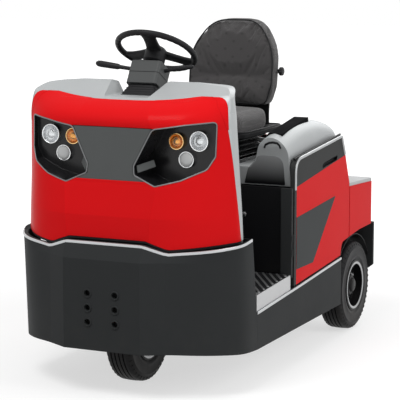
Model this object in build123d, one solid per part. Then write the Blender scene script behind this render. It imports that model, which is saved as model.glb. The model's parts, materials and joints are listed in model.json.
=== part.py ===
from build123d import *
import math
import os

# Sizes are in mm. "back" is the distance behind the face of the front bumper,
# x is to the vehicle's left and z is up from the ground.

# Overall
half_width = 490
wheelbase = 1243
front_wheel_back = 320
wheel_room = 2
coupling_reach = 76
fit_gap = 0.3
move_gap = 8

# Wheels and steering
wheel_radius = 203
tyre_half_width = 55
tyre_margin = 10
rim_radius = 108
stub_radius = 25
fork_leg_x = 66
fork_leg_thick = 22
crown_thick = 22
crown_gap = 12
ring_radius = 110
ring_thick = 21
kingpin_radius = 30
kingpin_rise = 45
steer_plate_thick = 20
axle_radius = 45
drive_radius = 88

# Front bumper and sills
bumper_wall = 18
bumper_end = 392
bumper_top = 611
bumper_lean = 27
bumper_flat = 167
brow_dip_x = 253
brow_dip = 580
skirt_bottom = 156
bow_bottom = 186
hole_radius = 12
hole_x = 60
hole_rows = (297, 354, 411)
sill_wall = 24
sill_line = ((387, 309), (847, 337), (1365, 372))

# Nose
cowl_gap = 12
seal_gap = 2
seal_inset = 3
seal_thick = 5
nose_end = 393
nose_skin = 6
nose_round = 132
dash_top = 1214
crown_round = 62
notch_half = 96
notch_floor = 1157
band_end = 345
pod_wall = 5
pod_floor_back = 217
pod_floor_thick = 8
panel_gap = 2
visor_low = 848
visor_high = 1050

# Floor and battery space
floor_top = 388
floor_thick = 10
hump_margin = 60
hump_end = 560
hump_top = 500
hump_skin = 8
step_width = 176
step_thick = 5
step_fall = 18
box_front = 768
box_wall = 8
box_margin = 38
hood_depth = 77
tray_bottom = 330
tray_thick = 15
battery_gap = 32
battery_headroom = 65
post_thick = 16

# Side doors
door_thick = 20
door_front = 779
hinge_back = 772
hinge_radius = 4
hinge_low = 470
hinge_knuckle = 30
hinge_play = 0.5
band_round = 62
strip_width = 24

# Seat hood, consoles and seat
hood_gap = 8
hood_front = 770
hood_skin = 8
deck_height = 832
console_foot = 212
bellows_base = 16
bellows_ribs = 4
bellows_pitch = 23
pan_thick = 16
cushion_thick = 84
seat_gap = 5
seat_front = 800
seat_end = 1232
back_plate = 1304
backrest_margin = 37
backrest_rise = 388
backrest_lean = 7.87
knob_rise = 156

# Rear
rear_skin = 20
rear_corner = 30
deck_thick = 15
rear_bumper_gap = 10
rear_bumper_thick = 36
rear_bumper_low = 240
rear_bumper_high = 463
rail_low = 262
rail_margin = 160
rail_width = 60
jaw_low = 290
jaw_pitch = 62
jaw_thick = 18
pin_radius = 14

# Steering wheel
wheel_tilt = 30.4
hand_centre_back = 488
hand_centre_height = 1323
hand_radius = 159
hand_grip = 13
hub_radius = 44
shaft_radius = 12

# Values that follow from those above
rear_wheel_back = front_wheel_back + wheelbase
rear_end = rear_wheel_back + wheel_radius + wheel_room
rear_bumper_front = rear_end + rear_bumper_gap
rear_bumper_end = rear_bumper_front + rear_bumper_thick
overall_length = rear_bumper_end + coupling_reach
rear_wheel_x = half_width - tyre_margin - tyre_half_width
crown_bottom = 2 * wheel_radius + crown_gap
ring_top = crown_bottom + crown_thick + ring_thick
steer_plate_low = ring_top + hinge_play
sill_end = rear_wheel_back - wheel_radius - 15
sill_in = half_width - sill_wall
step_out = half_width - 4
step_in = step_out - step_width
hump_half = step_in - hump_margin
rail_out = half_width - rail_margin
rail_in = rail_out - rail_width
post_front = box_front - post_thick
box_top = deck_height - hood_depth
battery_top = box_top - battery_headroom
box_half = half_width - box_margin
battery_half = box_half - battery_gap
door_in = half_width - door_thick
door_end = rear_wheel_back - 123
rear_start = door_end + move_gap
hood_half = door_in - hood_gap
hood_end = rear_wheel_back - 225
box_end = hood_end - 2
console_in = hood_half - console_foot
seat_half = console_in - seat_gap
backrest_half = seat_half - backrest_margin
pan_low = deck_height + bellows_base + bellows_ribs * bellows_pitch
cushion_bottom = pan_low + pan_thick
cushion_top = cushion_bottom + cushion_thick
backrest_top = cushion_top + backrest_rise
knob_height = cushion_top + knob_rise
pod_out = half_width - 86
pod_in = half_width - 318

os.makedirs("parts", exist_ok=True)


def at(back):
    return back - overall_length / 2


def save(name, *shapes):
    solids = [solid for shape in shapes for solid in shape.solids()]
    export_step(solids[0] if len(solids) == 1 else Compound(solids), f"parts/{name}.step")
    print(name, len(solids), "solid(s)", round(sum(solid.volume for solid in solids) / 1000), "cm3")


def largest(shape):
    return max(shape.solids(), key=lambda solid: solid.volume)


def both(shape):
    return [shape, mirror(shape, about=Plane.YZ)]


def paired(shape):
    return shape + mirror(shape, about=Plane.YZ)


def block(x0, x1, back0, back1, z0, z1):
    centre = ((x0 + x1) / 2, at((back0 + back1) / 2), (z0 + z1) / 2)
    return Pos(*centre) * Box(x1 - x0, back1 - back0, z1 - z0)


# A point of an outline may carry a third number, the radius that rounds its corner
def outline(points):
    flat = Polygon(*[(p[0], p[1]) for p in points], align=None)
    for p in points:
        if len(p) == 3:
            corner = flat.vertices().sort_by_distance((p[0], p[1], 0))[0]
            flat = fillet(corner, p[2])
    return flat


def side_shape(points, x0, x1):
    plane = Plane(origin=(x0, 0, 0), x_dir=(0, 1, 0), z_dir=(1, 0, 0))
    return extrude(plane * outline([(at(p[0]), *p[1:]) for p in points]), amount=x1 - x0, dir=(1, 0, 0))


def front_shape(points, back0, back1):
    plane = Plane(origin=(0, at(back0), 0), x_dir=(1, 0, 0), z_dir=(0, -1, 0))
    return extrude(plane * outline(points), amount=back1 - back0, dir=(0, 1, 0))


def plan_shape(points, z0, z1):
    flat = outline([(p[0], at(p[1]), *p[2:]) for p in points])
    return extrude(Pos(0, 0, z0) * flat, amount=z1 - z0, dir=(0, 0, 1))


def rod(start, end, radius):
    a = Vector(start[0], at(start[1]), start[2])
    b = Vector(end[0], at(end[1]), end[2])
    return extrude(Plane(origin=a, z_dir=b - a) * Circle(radius), amount=(b - a).length)


def mirrored(points):
    return points + [(-p[0], *p[1:]) for p in reversed(points)]


# Front bumper: a thick bowed wall, flared at the sides and leaning back along its top,
# with coupling bolt holes
def inset_path(path, inset):
    moved = []
    for i, (x, back) in enumerate(path):
        before = Vector(*path[max(i - 1, 0)])
        after = Vector(*path[min(i + 1, len(path) - 1)])
        run = (after - before).normalized()
        moved.append((x - run.Y * inset, back + run.X * inset))
    return moved


def bumper_plan(z, lean, flare, inset):
    path = [(0, lean), (bumper_flat, lean), (brow_dip_x, 48 + 0.7 * lean),
            (half_width - 110 + 0.6 * flare, 128 - flare)]
    path += [(half_width - 28 + flare, 225), (half_width, 342), (half_width, bumper_end)]
    path = inset_path(path, inset)
    end = bumper_end + inset
    side = path[5][0]
    edges = [Line((-path[1][0], at(path[1][1])), (path[1][0], at(path[1][1]))),
             Line((side, at(end)), (-side, at(end)))]
    for s in (1, -1):
        points = [(s * x, at(back)) for x, back in path[1:6]]
        edges.append(Line(points[0], points[1]))
        edges.append(Spline(*points[1:], tangents=[(s * 2, 1), (0, 1)]))
        edges.append(Line(points[-1], (s * side, at(end))))
    return Pos(0, 0, z) * make_face(edges)


def bumper_form(inset, over):
    rows = [(skirt_bottom - over, 0, 0), (bumper_top - 66, 0, 11), (bumper_top + 1 + over, bumper_lean, 13)]
    return loft([bumper_plan(*row, inset) for row in rows], ruled=True)


brow = [(half_width + 1, bumper_top + 1), (half_width - 20, 598), (brow_dip_x, brow_dip, 60),
        (bumper_flat, bumper_top, 40)]
sky = [(-half_width - 1, 700), (half_width + 1, 700)]
bumper = bumper_form(0, 0) - bumper_form(bumper_wall, 1)
bumper -= front_shape(mirrored(sky[1:] + brow), -1, bumper_end + 1)
bumper -= side_shape([(342, bumper_top + 2), (342, 700), (500, 700), (500, 309), sill_line[0]], -500, 500)
chin = [(-1, 100), (-1, bow_bottom), (60, bow_bottom, 200), (250, 166), (bumper_end, skirt_bottom),
        (bumper_end, 100)]
bumper -= side_shape(chin, -half_width - 1, half_width + 1)
for z in hole_rows:
    for x in (-hole_x, hole_x):
        bumper -= rod((x, -1, z), (x, bumper_wall + 1, z), hole_radius)
save("front_bumper", bumper)


# Sills: plates that carry the bumper's lower half back to the rear wheels
def sill_height(back):
    (b0, z0), (b1, z1), (b2, z2) = sill_line
    if back < b1:
        return z0 + (back - b0) * (z1 - z0) / (b1 - b0)
    return z1 + (back - b1) * (z2 - z1) / (b2 - b1)


sill_points = [(bumper_end, skirt_bottom), (bumper_end, sill_height(bumper_end)), sill_line[1]]
sill_points += [(sill_end, sill_height(sill_end)), (sill_end, skirt_bottom)]
save("side_sills", *both(side_shape(sill_points, sill_in, half_width)))

# Frame: two rails, cross members and the plate that the steering head turns in
plate_front = front_wheel_back - 105
plate_end = front_wheel_back + 60
plate_top = steer_plate_low + steer_plate_thick
yoke = [(rail_out, 180), (rail_out, 140), (brow_dip_x - 8, 72), (bumper_flat - 17, bumper_wall)]
yoke_in = [(bumper_flat - 27, 60), (brow_dip_x - 28, 95), (rail_in, 180)]
frame = paired(block(rail_in, rail_out, 140, rear_bumper_front, rail_low, tray_bottom))
yoke_out = yoke + [(-x, back) for x, back in reversed(yoke)]
frame += plan_shape(yoke_out + [(-x, back) for x, back in reversed(yoke_in)] + yoke_in, rail_low, 440)
frame += block(-rail_out, rail_out, 610, 650, rail_low, floor_top - floor_thick)
frame += block(-rail_in - 1, rail_in + 1, box_end - 76, box_end - 36, rail_low, tray_bottom)
tail_half = rail_out + 10
frame += block(-tail_half, tail_half, rear_bumper_front - 30, rear_bumper_front, 268, 455)
frame += paired(block(hump_half, hump_half + 30, plate_front, plate_end, rail_low, plate_top))
frame += paired(block(rail_out - 1, sill_in, 610, 650, 280, 320))
frame += paired(block(rail_out - 1, sill_in, box_end - 76, box_end - 36, 280, tray_bottom))
steer_plate = block(-hump_half - 30, hump_half + 30, plate_front, plate_end, steer_plate_low, plate_top)
frame += steer_plate - rod((0, front_wheel_back, 400), (0, front_wheel_back, 600), kingpin_radius + fit_gap)
save("chassis_frame", frame)

# Steered fork with its axle pin
leg_out = fork_leg_x + fork_leg_thick
hub_line = front_wheel_back
leg = side_shape([(hub_line - 34, wheel_radius), (hub_line - 48, crown_bottom + 1),
                  (hub_line + 48, crown_bottom + 1),
                  (hub_line + 34, wheel_radius)], fork_leg_x, leg_out)
leg += rod((fork_leg_x, hub_line, wheel_radius), (leg_out, hub_line, wheel_radius), 34)
fork = paired(leg)
fork += block(-leg_out, leg_out, hub_line - 62, hub_line + 62, crown_bottom, crown_bottom + crown_thick)
fork += rod((0, hub_line, crown_bottom + crown_thick), (0, hub_line, ring_top), ring_radius)
fork += rod((0, hub_line, ring_top), (0, hub_line, plate_top + kingpin_rise), kingpin_radius)
fork += rod((0, hub_line, plate_top + hinge_play), (0, hub_line, plate_top + 24), kingpin_radius + 12)
fork += rod((-fork_leg_x, hub_line, wheel_radius), (fork_leg_x, hub_line, wheel_radius), stub_radius)
fork += rod((-leg_out - 12, hub_line, wheel_radius), (leg_out + 12, hub_line, wheel_radius), 20)
save("steer_fork", fork)

# Tyres and rims
bead = tyre_half_width - 5
bulge = wheel_radius - rim_radius


def turned(face, x, back):
    plane = Plane(origin=(x, at(back), wheel_radius), x_dir=(1, 0, 0), z_dir=(0, -1, 0))
    return revolve(plane * face, Axis((x, at(back), wheel_radius), (1, 0, 0)), 360)


def tyre_face():
    edges = [Line((-bead, rim_radius), (bead, rim_radius)), Line((-36, wheel_radius - 2), (0, wheel_radius))]
    edges.append(Line((0, wheel_radius), (36, wheel_radius - 2)))
    for s in (1, -1):
        edges.append(Line((s * bead, rim_radius), (s * bead, rim_radius + 11)))
        wall = [(s * bead, rim_radius + 11), (s * tyre_half_width, rim_radius + 0.5 * bulge)]
        wall += [(s * (tyre_half_width - 4), wheel_radius - 16), (s * 36, wheel_radius - 2)]
        edges.append(Spline(*wall, tangents=[(s * 0.6, 1), (-s, 0.25)]))
    return make_face(edges)


def rim_face(out, disc):
    barrel = rim_radius - 10
    points = [(-bead - 4, barrel), (-bead - 4, rim_radius + 8), (-bead, rim_radius + 8), (-bead, rim_radius)]
    points += [(bead, rim_radius), (bead, rim_radius + 8), (bead + 4, rim_radius + 8), (bead + 4, barrel)]
    points += [(disc + 6, barrel), (disc + 10, 70), (disc + 10, 52), (out, 46), (out, stub_radius + fit_gap)]
    points += [(-44, stub_radius + fit_gap), (-44, 46), (disc, 52), (disc, 70), (disc - 4, barrel)]
    return outline(points)


save("front_tyre", turned(tyre_face(), 0, front_wheel_back))
save("front_rim", turned(rim_face(44, 0), 0, front_wheel_back))
rear_tyre = turned(tyre_face(), rear_wheel_x, rear_wheel_back)
rear_rim = turned(rim_face(34, 8), rear_wheel_x, rear_wheel_back)
for side, tyre, rim in zip(("left", "right"), both(rear_tyre), both(rear_rim)):
    save("rear_tyre_" + side, tyre)
    save("rear_rim_" + side, rim)

# Rear axle with drive unit
axle_half = rear_wheel_x - 85
axle = rod((-axle_half, rear_wheel_back, wheel_radius), (axle_half, rear_wheel_back, wheel_radius),
           axle_radius)
axle += rod((-rear_wheel_x - 30, rear_wheel_back, wheel_radius),
            (rear_wheel_x + 30, rear_wheel_back, wheel_radius), stub_radius)
axle += rod((-70, rear_wheel_back, wheel_radius), (70, rear_wheel_back, wheel_radius), drive_radius)
motor_height = wheel_radius + 12
axle += rod((0, rear_wheel_back, motor_height), (0, rear_wheel_back - 218, motor_height), drive_radius - 4)
axle += paired(block(rail_in + 4, rail_out - 4, rear_wheel_back - 50, rear_wheel_back + 50, wheel_radius,
                     rail_low))
save("rear_axle", axle)

# Nose: one moulded outer form, creased below and rounded on top, split into the red cowl,
# the dash shell and its dark sides.
# Each row gives height, front of the flat middle, side margin, sweep of the wings and half the flat's width.
crease = 709
nose_rows = [(566, 52, 24, 222, 178), (crease, 54, 30, 218, 185), (835, 79, 37, 188, 201),
             (1050, 100, 46, 152, 172)]
nose_rows += [(1118, 130, 50, 118, 150), (1160, 212, 56, 40, 150), (1240, 330, 60, 10, 150)]
wing_shape = [(0, 0), (0.3, 0.1), (0.62, 0.33), (0.86, 0.66), (0.97, 0.87), (1, 1)]


def nose_slice(z, front, margin, sweep, flat, inset):
    w = half_width - margin - inset
    level = z - inset if z > 1140 else z
    rear = at(nose_end - inset)
    corner = min(nose_round, nose_end - front - sweep - 14) - inset
    bend = corner * math.sqrt(0.5)
    wing = [(flat + u * (w - flat), at(front + inset + f * sweep)) for u, f in wing_shape]
    edges = [Line((-flat, wing[0][1]), wing[0]), Line((w - corner, rear), (corner - w, rear))]
    for s in (1, -1):
        points = [(s * x, y) for x, y in wing]
        edges.append(Spline(*points, tangents=[(s, 0.16), (0, 1)]))
        edges.append(Line(points[-1], (s * w, rear - corner)))
        middle = (s * (w - corner + bend), rear - corner + bend)
        edges.append(ThreePointArc((s * w, rear - corner), middle, (s * (w - corner), rear)))
    return Pos(0, 0, level) * make_face(edges)


def nose_form(inset):
    slices = [nose_slice(*row, inset) for row in nose_rows]
    form = loft(slices[:4], ruled=True) + loft(slices[3:])
    high = dash_top - inset
    slope = [(140, 1300), (140, 1152 - inset), (205, 1152 - inset), (345, dash_top + 2 - inset),
             (nose_end + 1, high - 10)]
    form -= side_shape(slope + [(nose_end + 1, 1300)], -half_width, half_width)
    edge = half_width - 52 - inset
    crown = [(half_width, 1300), (half_width, 1108), (edge, 1108), (edge, high - 17, crown_round - inset),
             (255, high, 90)]
    crown += [(notch_half + 30 + inset, high, 10), (notch_half + inset, notch_floor - inset, 8)]
    form -= front_shape(mirrored(crown), 150, nose_end + 1)
    return form


outer_nose = nose_form(0)
inner_nose = nose_form(nose_skin)
nose_shell = outer_nose - inner_nose - block(-half_width, half_width, nose_end - 2, nose_end + 2, 500, 1300)
brow_lift = [(p[0], p[1] + cowl_gap, *p[2:]) for p in brow]
nose_shell -= front_shape(mirrored([(half_width + 1, 500)] + brow_lift), -1, nose_end + 1)
smile = [(half_width - 54, 1105), (half_width - 58, 1135), (half_width - 75, 1160), (half_width - 105, 1173)]
smile += [(half_width - 145, 1174), (300, 1168), (200, 1156), (100, 1150.5)]
smile = [Vector(x, z) for x, z in smile]
smile_line = smile + [Vector(0, 1150)] + [Vector(-p.X, p.Y) for p in reversed(smile)]
smile_foot = [(-half_width, 1105), (-half_width, 500), (half_width, 500), (half_width, 1105)]
smile_face = make_face([Spline(*smile_line), Polyline((smile_line[-1].X, 1105), *smile_foot,
                                                      (smile_line[0].X, 1105))])
front_plane = Plane(origin=(0, at(-1), 0), x_dir=(1, 0, 0), z_dir=(0, -1, 0))
cowl_zone = extrude(front_plane * smile_face, amount=nose_end, dir=(0, 1, 0))
cowl_rear = [(-1, 500), (305, 500), (218, 1136, 30), (300, 1240), (-1, 1240)]
cowl_zone &= side_shape(cowl_rear, -half_width, half_width)
cowl = nose_shell & cowl_zone
band = nose_shell - cowl_zone
dark_zone = side_shape([(band_end, 500), (band_end, 1118, 30), (nose_end, 1118), (nose_end, 500)],
                       -half_width, half_width)
save("dash_shell", largest(band - dark_zone))

# The cowl has one wide opening for the visor and the lamp pods at its sides
pod_points = [(pod_out, 1080, 14), (pod_out - 104, 1070), (pod_in, visor_high), (pod_in - 74, 905, 12)]
pod_points += [(pod_in - 70, 870, 12), (pod_in + 20, 830, 10)]
pod_points += [(pod_out - 114, 854), (pod_out - 26, 896, 20), (pod_out - 2, 945)]
visor_edge = [(pod_in, visor_high), (pod_in - 74, 905), (pod_in - 70, 870), (pod_in - 24, visor_low)]
visor_points = mirrored([(x - panel_gap, z) for x, z in visor_edge])
for s in (1, -1):
    cowl -= front_shape([(s * p[0], *p[1:]) for p in pod_points], 0, 260)
visor_hole = mirrored([(pod_in + 1, visor_high + panel_gap), (pod_in - 72, 905), (pod_in - 68, 869),
                       (pod_in - 20, visor_low)])
cowl -= front_shape(visor_hole, 0, 260)
save("front_cowl", largest(cowl))
save("visor_panel", largest(nose_shell & front_shape(visor_points, 0, 200)))

# Lamp pods: deep recesses with a flat floor that carries three lamps each
pod_back_end = pod_floor_back + pod_floor_thick
pod_flat = offset(outline(pod_points), amount=-pod_wall)
pod_room = extrude(front_plane * pod_flat, amount=pod_floor_back + 1, dir=(0, 1, 0))
pod = (front_shape(pod_points, 0, pod_back_end) - pod_room) & outer_nose
save("lamp_pods", *both(largest(pod)))


def lamp(x, z, radius, length):
    body = rod((x, pod_floor_back - length, z), (x, pod_floor_back, z), radius)
    return fillet(body.edges().filter_by(GeomType.CIRCLE).sort_by(Axis.Y)[0:1], 4)


save("headlamps", *both(lamp(pod_out - 77, 1001, 40, 22)))
save("indicator_lamps", *both(lamp(pod_out - 176, 996, 33, 18)))
save("position_lamps", *both(lamp(pod_out - 133, 927, 33, 18)))

# Dark sides of the nose, the seal along its foot and the panel that closes it towards the driver
panel_front = nose_end - 10
panel_end = nose_end - 2
nose_foot = 600
seal_foot = mirrored([(half_width + 1, 500)] + [(p[0], p[1] + seal_gap, *p[2:]) for p in brow])
seal_head = mirrored(sky[1:] + [(p[0], p[1] + cowl_gap - 1, *p[2:]) for p in brow])
back_panel = outer_nose & dark_zone & block(-half_width, half_width, band_end, panel_end, nose_foot, 1200)
back_panel -= inner_nose & block(-half_width, half_width, band_end - 1, panel_front, 500, 1200)
back_panel -= front_shape(seal_foot, 0, panel_front)
back_panel += block(-sill_in + 2, sill_in - 2, panel_front, panel_end, floor_top, nose_foot + 1)
seal = extrude(nose_slice(*nose_rows[0], seal_inset), amount=70, dir=(0, 0, 1))
seal -= extrude(nose_slice(*nose_rows[0], seal_inset + seal_thick), amount=70, dir=(0, 0, 1))
seal -= front_shape(seal_foot, -1, nose_end + 1)
seal -= front_shape(seal_head, -1, nose_end + 1)
back_panel += seal - block(-half_width, half_width, band_end + 15, nose_end + 20, 500, 700)
back_panel -= block(-hump_half, hump_half, 300, 500, 300, hump_top)
save("nose_back_panel", largest(back_panel))

# Floor with the wheel house hump
floor_half = step_in
floor = block(-floor_half, floor_half, panel_end, box_front - 2, floor_top - floor_thick, floor_top)
floor += block(-hump_half, hump_half, panel_end, hump_end, floor_top - floor_thick, hump_top)
floor = fillet(floor.edges().filter_by(Axis.X).filter_by_position(Axis.Z, hump_top - 1, hump_top + 1)[-1:],
               40)
hump_room = hump_half - hump_skin
floor -= block(-hump_room, hump_room, panel_end - 1, hump_end - hump_skin, 300, hump_top - hump_skin)
save("floor_pan", floor)

# Ribbed step plates along the sides, each a sloped tread with a riser that stands on the sill
step_front = bumper_end + 4
step_end = post_front - 2
tread_front = floor_top + step_thick - step_fall
tread_end = floor_top + step_thick + 1
riser = [(step_front, sill_height(step_front)), (step_front, tread_front), (step_end, tread_end),
         (step_end, sill_height(step_end))]
tread = [(step_front, tread_front - step_thick), (step_front, tread_front), (step_end, tread_end),
         (step_end, tread_end - step_thick)]
step = side_shape(riser, step_out - 18, step_out) + side_shape(tread, step_in, step_out)
save("step_plates", *both(step))

# Pedals: pads on arms that come out of the panel
pedal_set = []
for x, width in ((95 - half_width, 62), (190 - half_width, 74)):
    pad = Pos(x, at(450), 520) * Rot(-38, 0, 0) * Box(width, 12, 120)
    pad = fillet(pad.edges().filter_by(GeomType.LINE), 4)
    arm = rod((x, panel_end - 18, 600), (x, 452, 530), 11) - block(-half_width, 0, 300, panel_end, 400, 700)
    pedal_set.append(arm + pad)
save("pedals", *pedal_set)

# Battery box, battery and corner posts
box = block(-box_half, box_half, box_front, box_end, tray_bottom, tray_bottom + tray_thick)
box += block(-box_half, box_half, box_front, box_front + box_wall, tray_bottom, box_top)
box += block(-box_half, box_half, box_end - box_wall, box_end, tray_bottom, box_top)
save("battery_box", box)
battery_low = tray_bottom + tray_thick
save("battery", block(-battery_half, battery_half, box_front + battery_gap, box_end - 36, battery_low,
                      battery_top))
post = block(box_half - 12, half_width - 2, post_front, box_front, floor_top - 6, box_top)
knuckle = hinge_knuckle - hinge_play
for z in (hinge_low, hinge_low + 2 * hinge_knuckle + hinge_play):
    post += block(half_width - 6, half_width, post_front + 4, hinge_back, z, z + knuckle)
    post += rod((half_width, hinge_back, z), (half_width, hinge_back, z + knuckle), hinge_radius)
save("corner_posts", *both(post))

# Side doors with a dark band along the top and down the hinge side, arched over the rear wheel
leaf_low = hinge_low + hinge_knuckle
leaf_high = leaf_low + hinge_knuckle
rear_rake = [(door_end - 56, deck_height - 6), (door_end - 102, deck_height + 88, 10)]
strip_back = door_front + strip_width
band_low = [(strip_back, deck_height - 76), rear_rake[0]]
sill_room = 10
strip_low = [(door_front, sill_height(door_front) + sill_room),
             (strip_back, sill_height(strip_back) + sill_room)]
door_low = [strip_low[1], (sill_end - 12, sill_height(sill_end) + sill_room - 1)]
door_low += [(sill_end + 6, 436, 34), (door_end, 447)]
door_points = door_low + [(door_end, 694), rear_rake[0], band_low[0]]
door = side_shape(door_points, door_in, half_width)
band_top = [*rear_rake[1:], (door_front, deck_height + 42, band_round)]
top_band = side_shape(strip_low + band_low + band_top, door_in, half_width)
top_band += block(half_width - 6, half_width, hinge_back, door_front + 1, leaf_low, leaf_high)
top_band += rod((half_width, hinge_back, leaf_low), (half_width, hinge_back, leaf_high), hinge_radius)
grip = [(1090, -33, 6), (1112, -12, 8), (1286, 5, 6), (1274, -17, 8)]
grip = [(back, deck_height + rise, radius) for back, rise, radius in grip]
top_band -= side_shape(grip, half_width - 14, half_width + 1)
for side, panel, strip in zip(("left", "right"), both(door), both(top_band)):
    save("battery_door_" + side, panel)
    save("door_band_" + side, strip)


# Seat hood: a flat cover between two moulded consoles that swell towards the middle
def console_slice(back, foot, rise, inset):
    out = hood_half - inset
    low = hood_half - console_foot + foot + inset
    top = rise - inset
    sweep = [(out, top - 100), (out - 12, top - 36), (out - 52, top - 3), (low + 118, top),
             (low + 86, top - 26)]
    sweep += [(low + 60, top - 100), (low + 24, box_top + 44), (low, box_top)]
    edges = [Line((low, box_top), (out, box_top)), Line((out, box_top), sweep[0])]
    edges.append(Spline(*sweep, tangents=[(0, 1), (-0.5, -1)]))
    plane = Plane(origin=(0, at(back), 0), x_dir=(1, 0, 0), z_dir=(0, -1, 0))
    return plane * make_face(edges)


def hood_form(inset):
    start = hood_front + inset
    end = hood_end - inset
    form = block(-hood_half + inset, hood_half - inset, start, end, box_top, deck_height - inset)
    stations = ((start, 0, 126), (1080, 12, 172), (end, 25, 136))
    form += paired(loft([console_slice(back, foot, deck_height + rise, inset)
                         for back, foot, rise in stations]))
    over = deck_height + 200
    undercut = [(700, box_top - 50), (700, over), (start, over), (start, deck_height + 93, 60)]
    undercut += [(start + 38, box_top - 1), (start + 38, box_top - 50)]
    return form - side_shape(undercut, -half_width, half_width)


hood = hood_form(0) - hood_form(hood_skin)
hood_room = hood_half - 20
hood -= block(-hood_room, hood_room, hood_front + 60, hood_end - 20, box_top - 1, box_top + hood_skin + 1)
save("seat_hood", largest(hood))
tray_line = [(812, deck_height + 140), (1105, deck_height + 184), (1105, deck_height + 162),
             (812, deck_height + 120)]
tray = side_shape(tray_line, hood_half - 108, hood_half - 42) - hood_form(-fit_gap)
save("console_trays", *both(largest(tray)))

# Seat: bellows, pan with back plate, cushion, backrest and its knob
bellows_half = seat_half - 53
bellows_front = seat_front + 48
bellows_end = bellows_front + 354
bellows = block(-bellows_half - 8, bellows_half + 8, bellows_front - 8, bellows_end + 8, deck_height,
                deck_height + bellows_base)
for i in range(bellows_ribs):
    low = deck_height + bellows_base + i * bellows_pitch
    wide = bellows_half - 14 * (i % 2)
    corners = [(wide, bellows_front, 40), (wide, bellows_end, 40), (-wide, bellows_end, 40),
               (-wide, bellows_front, 40)]
    bellows += plan_shape(corners, low, low + bellows_pitch)
save("seat_suspension", bellows)
pan_half = seat_half - 15
plate_thick = 12
pan_end = back_plate + plate_thick
pan = plan_shape(mirrored([(pan_half, seat_front + 15, 50), (pan_half, pan_end)]), pan_low, cushion_bottom)
lean_run = math.tan(math.radians(backrest_lean))
plate_half = 150
plate_rise = 282
plate_foot = cushion_bottom + 52
pan += block(-plate_half, plate_half, back_plate, pan_end, cushion_bottom - 1, plate_foot + 2)
plate_shift = plate_rise * lean_run
plate_high = plate_foot + plate_rise
plate = [(back_plate, plate_foot), (pan_end, plate_foot), (pan_end + plate_shift, plate_high),
         (back_plate + plate_shift, plate_high)]
pan += side_shape(plate, -plate_half, plate_half)
save("seat_frame", pan)
corners = [(seat_half, seat_front, 60), (seat_half, seat_end, 30), (-seat_half, seat_end, 30),
           (-seat_half, seat_front, 60)]
cushion = plan_shape(corners, cushion_bottom, cushion_top)
cushion = fillet(cushion.edges().group_by(Axis.Z)[-1], 28)
save("seat_cushion", cushion)

backrest_low = cushion_top + 3
seat_line = back_plate + (backrest_low - plate_foot) * lean_run - fit_gap
wing = backrest_half + 52
front_arc = ThreePointArc((-wing, at(seat_line - 135)), (0, at(seat_line - 70)), (wing, at(seat_line - 135)))
rear_arc = ThreePointArc((-wing, at(seat_line - 52)), (0, at(seat_line)), (wing, at(seat_line - 52)))
ends = [Line((s * wing, at(seat_line - 135)), (s * wing, at(seat_line - 52))) for s in (1, -1)]
crescent = Pos(0, 0, backrest_low) * make_face([front_arc, rear_arc, *ends])
slab = extrude(crescent, amount=520, dir=(0, math.sin(math.radians(backrest_lean)),
                                          math.cos(math.radians(backrest_lean))))
shield = [(backrest_half - 26, backrest_low + 0.1, 40), (backrest_half, backrest_low + 90, 60)]
shield += [(backrest_half, backrest_top - 130, 220), (backrest_half - 90, backrest_top, 130)]
backrest = slab & front_shape(mirrored(shield), back_plate - 250, back_plate + 150)
save("seat_back", backrest)
knob_back = seat_line - 54 + (knob_height - backrest_low) * lean_run
save("seat_knob", rod((backrest_half - 30, knob_back, knob_height),
                      (backrest_half + 25, knob_back, knob_height), 19) - backrest)

# Rear body, deck and bulkhead
arch = [(rear_start, 448), (rear_wheel_back + 14, 461), (rear_end, 465)]
deck_front = 677
deck_rear = 663
flank = side_shape(arch + [(rear_end, deck_rear), (rear_start, deck_front)], -half_width, half_width)
inner = half_width - rear_skin
rear = flank - block(-inner, inner, rear_start - 1, rear_end - rear_skin, 400, 800)
rear = fillet(rear.edges().filter_by(Axis.Z).sort_by(Axis.Y)[-2:], rear_corner)
save("rear_body", rear)
deck_half = half_width - 2
deck_side = [(rear_start, deck_front), (rear_start, deck_front + deck_thick),
             (rear_end, deck_rear + deck_thick), (rear_end, deck_rear)]
deck = side_shape(deck_side, -deck_half, deck_half)
deck = fillet(deck.edges().filter_by(Axis.Z).sort_by(Axis.Y)[-2:], rear_corner)
save("rear_deck", deck)
slant_foot = deck_front + deck_thick
slant_top = deck_height + 73
slant = [(hood_end, slant_top), (hood_end + 10, slant_top), (rear_start + 10, slant_foot - 0.4),
         (rear_start, slant_foot)]
save("rear_bulkhead", side_shape(slant, -hood_half, hood_half) - deck)
bar_half = half_width - 2
bar = [(bar_half, rear_bumper_high), (bar_half, rear_bumper_low + 24), (bar_half - 30, rear_bumper_low)]
rear_bumper = front_shape(mirrored(bar), rear_bumper_front, rear_bumper_end)
rear_bumper = fillet(rear_bumper.edges().filter_by(Axis.Z).sort_by(Axis.Y)[-2:], 24)
save("rear_bumper", rear_bumper)
lamp_x = half_width - 90
tail = [rod((s * lamp_x, rear_end, 560), (s * lamp_x, rear_end + 16, 560), 42) for s in (1, -1)]
save("tail_lamps", *[fillet(t.edges().filter_by(GeomType.CIRCLE).sort_by(Axis.Y)[-1:], 5) for t in tail])

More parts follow.
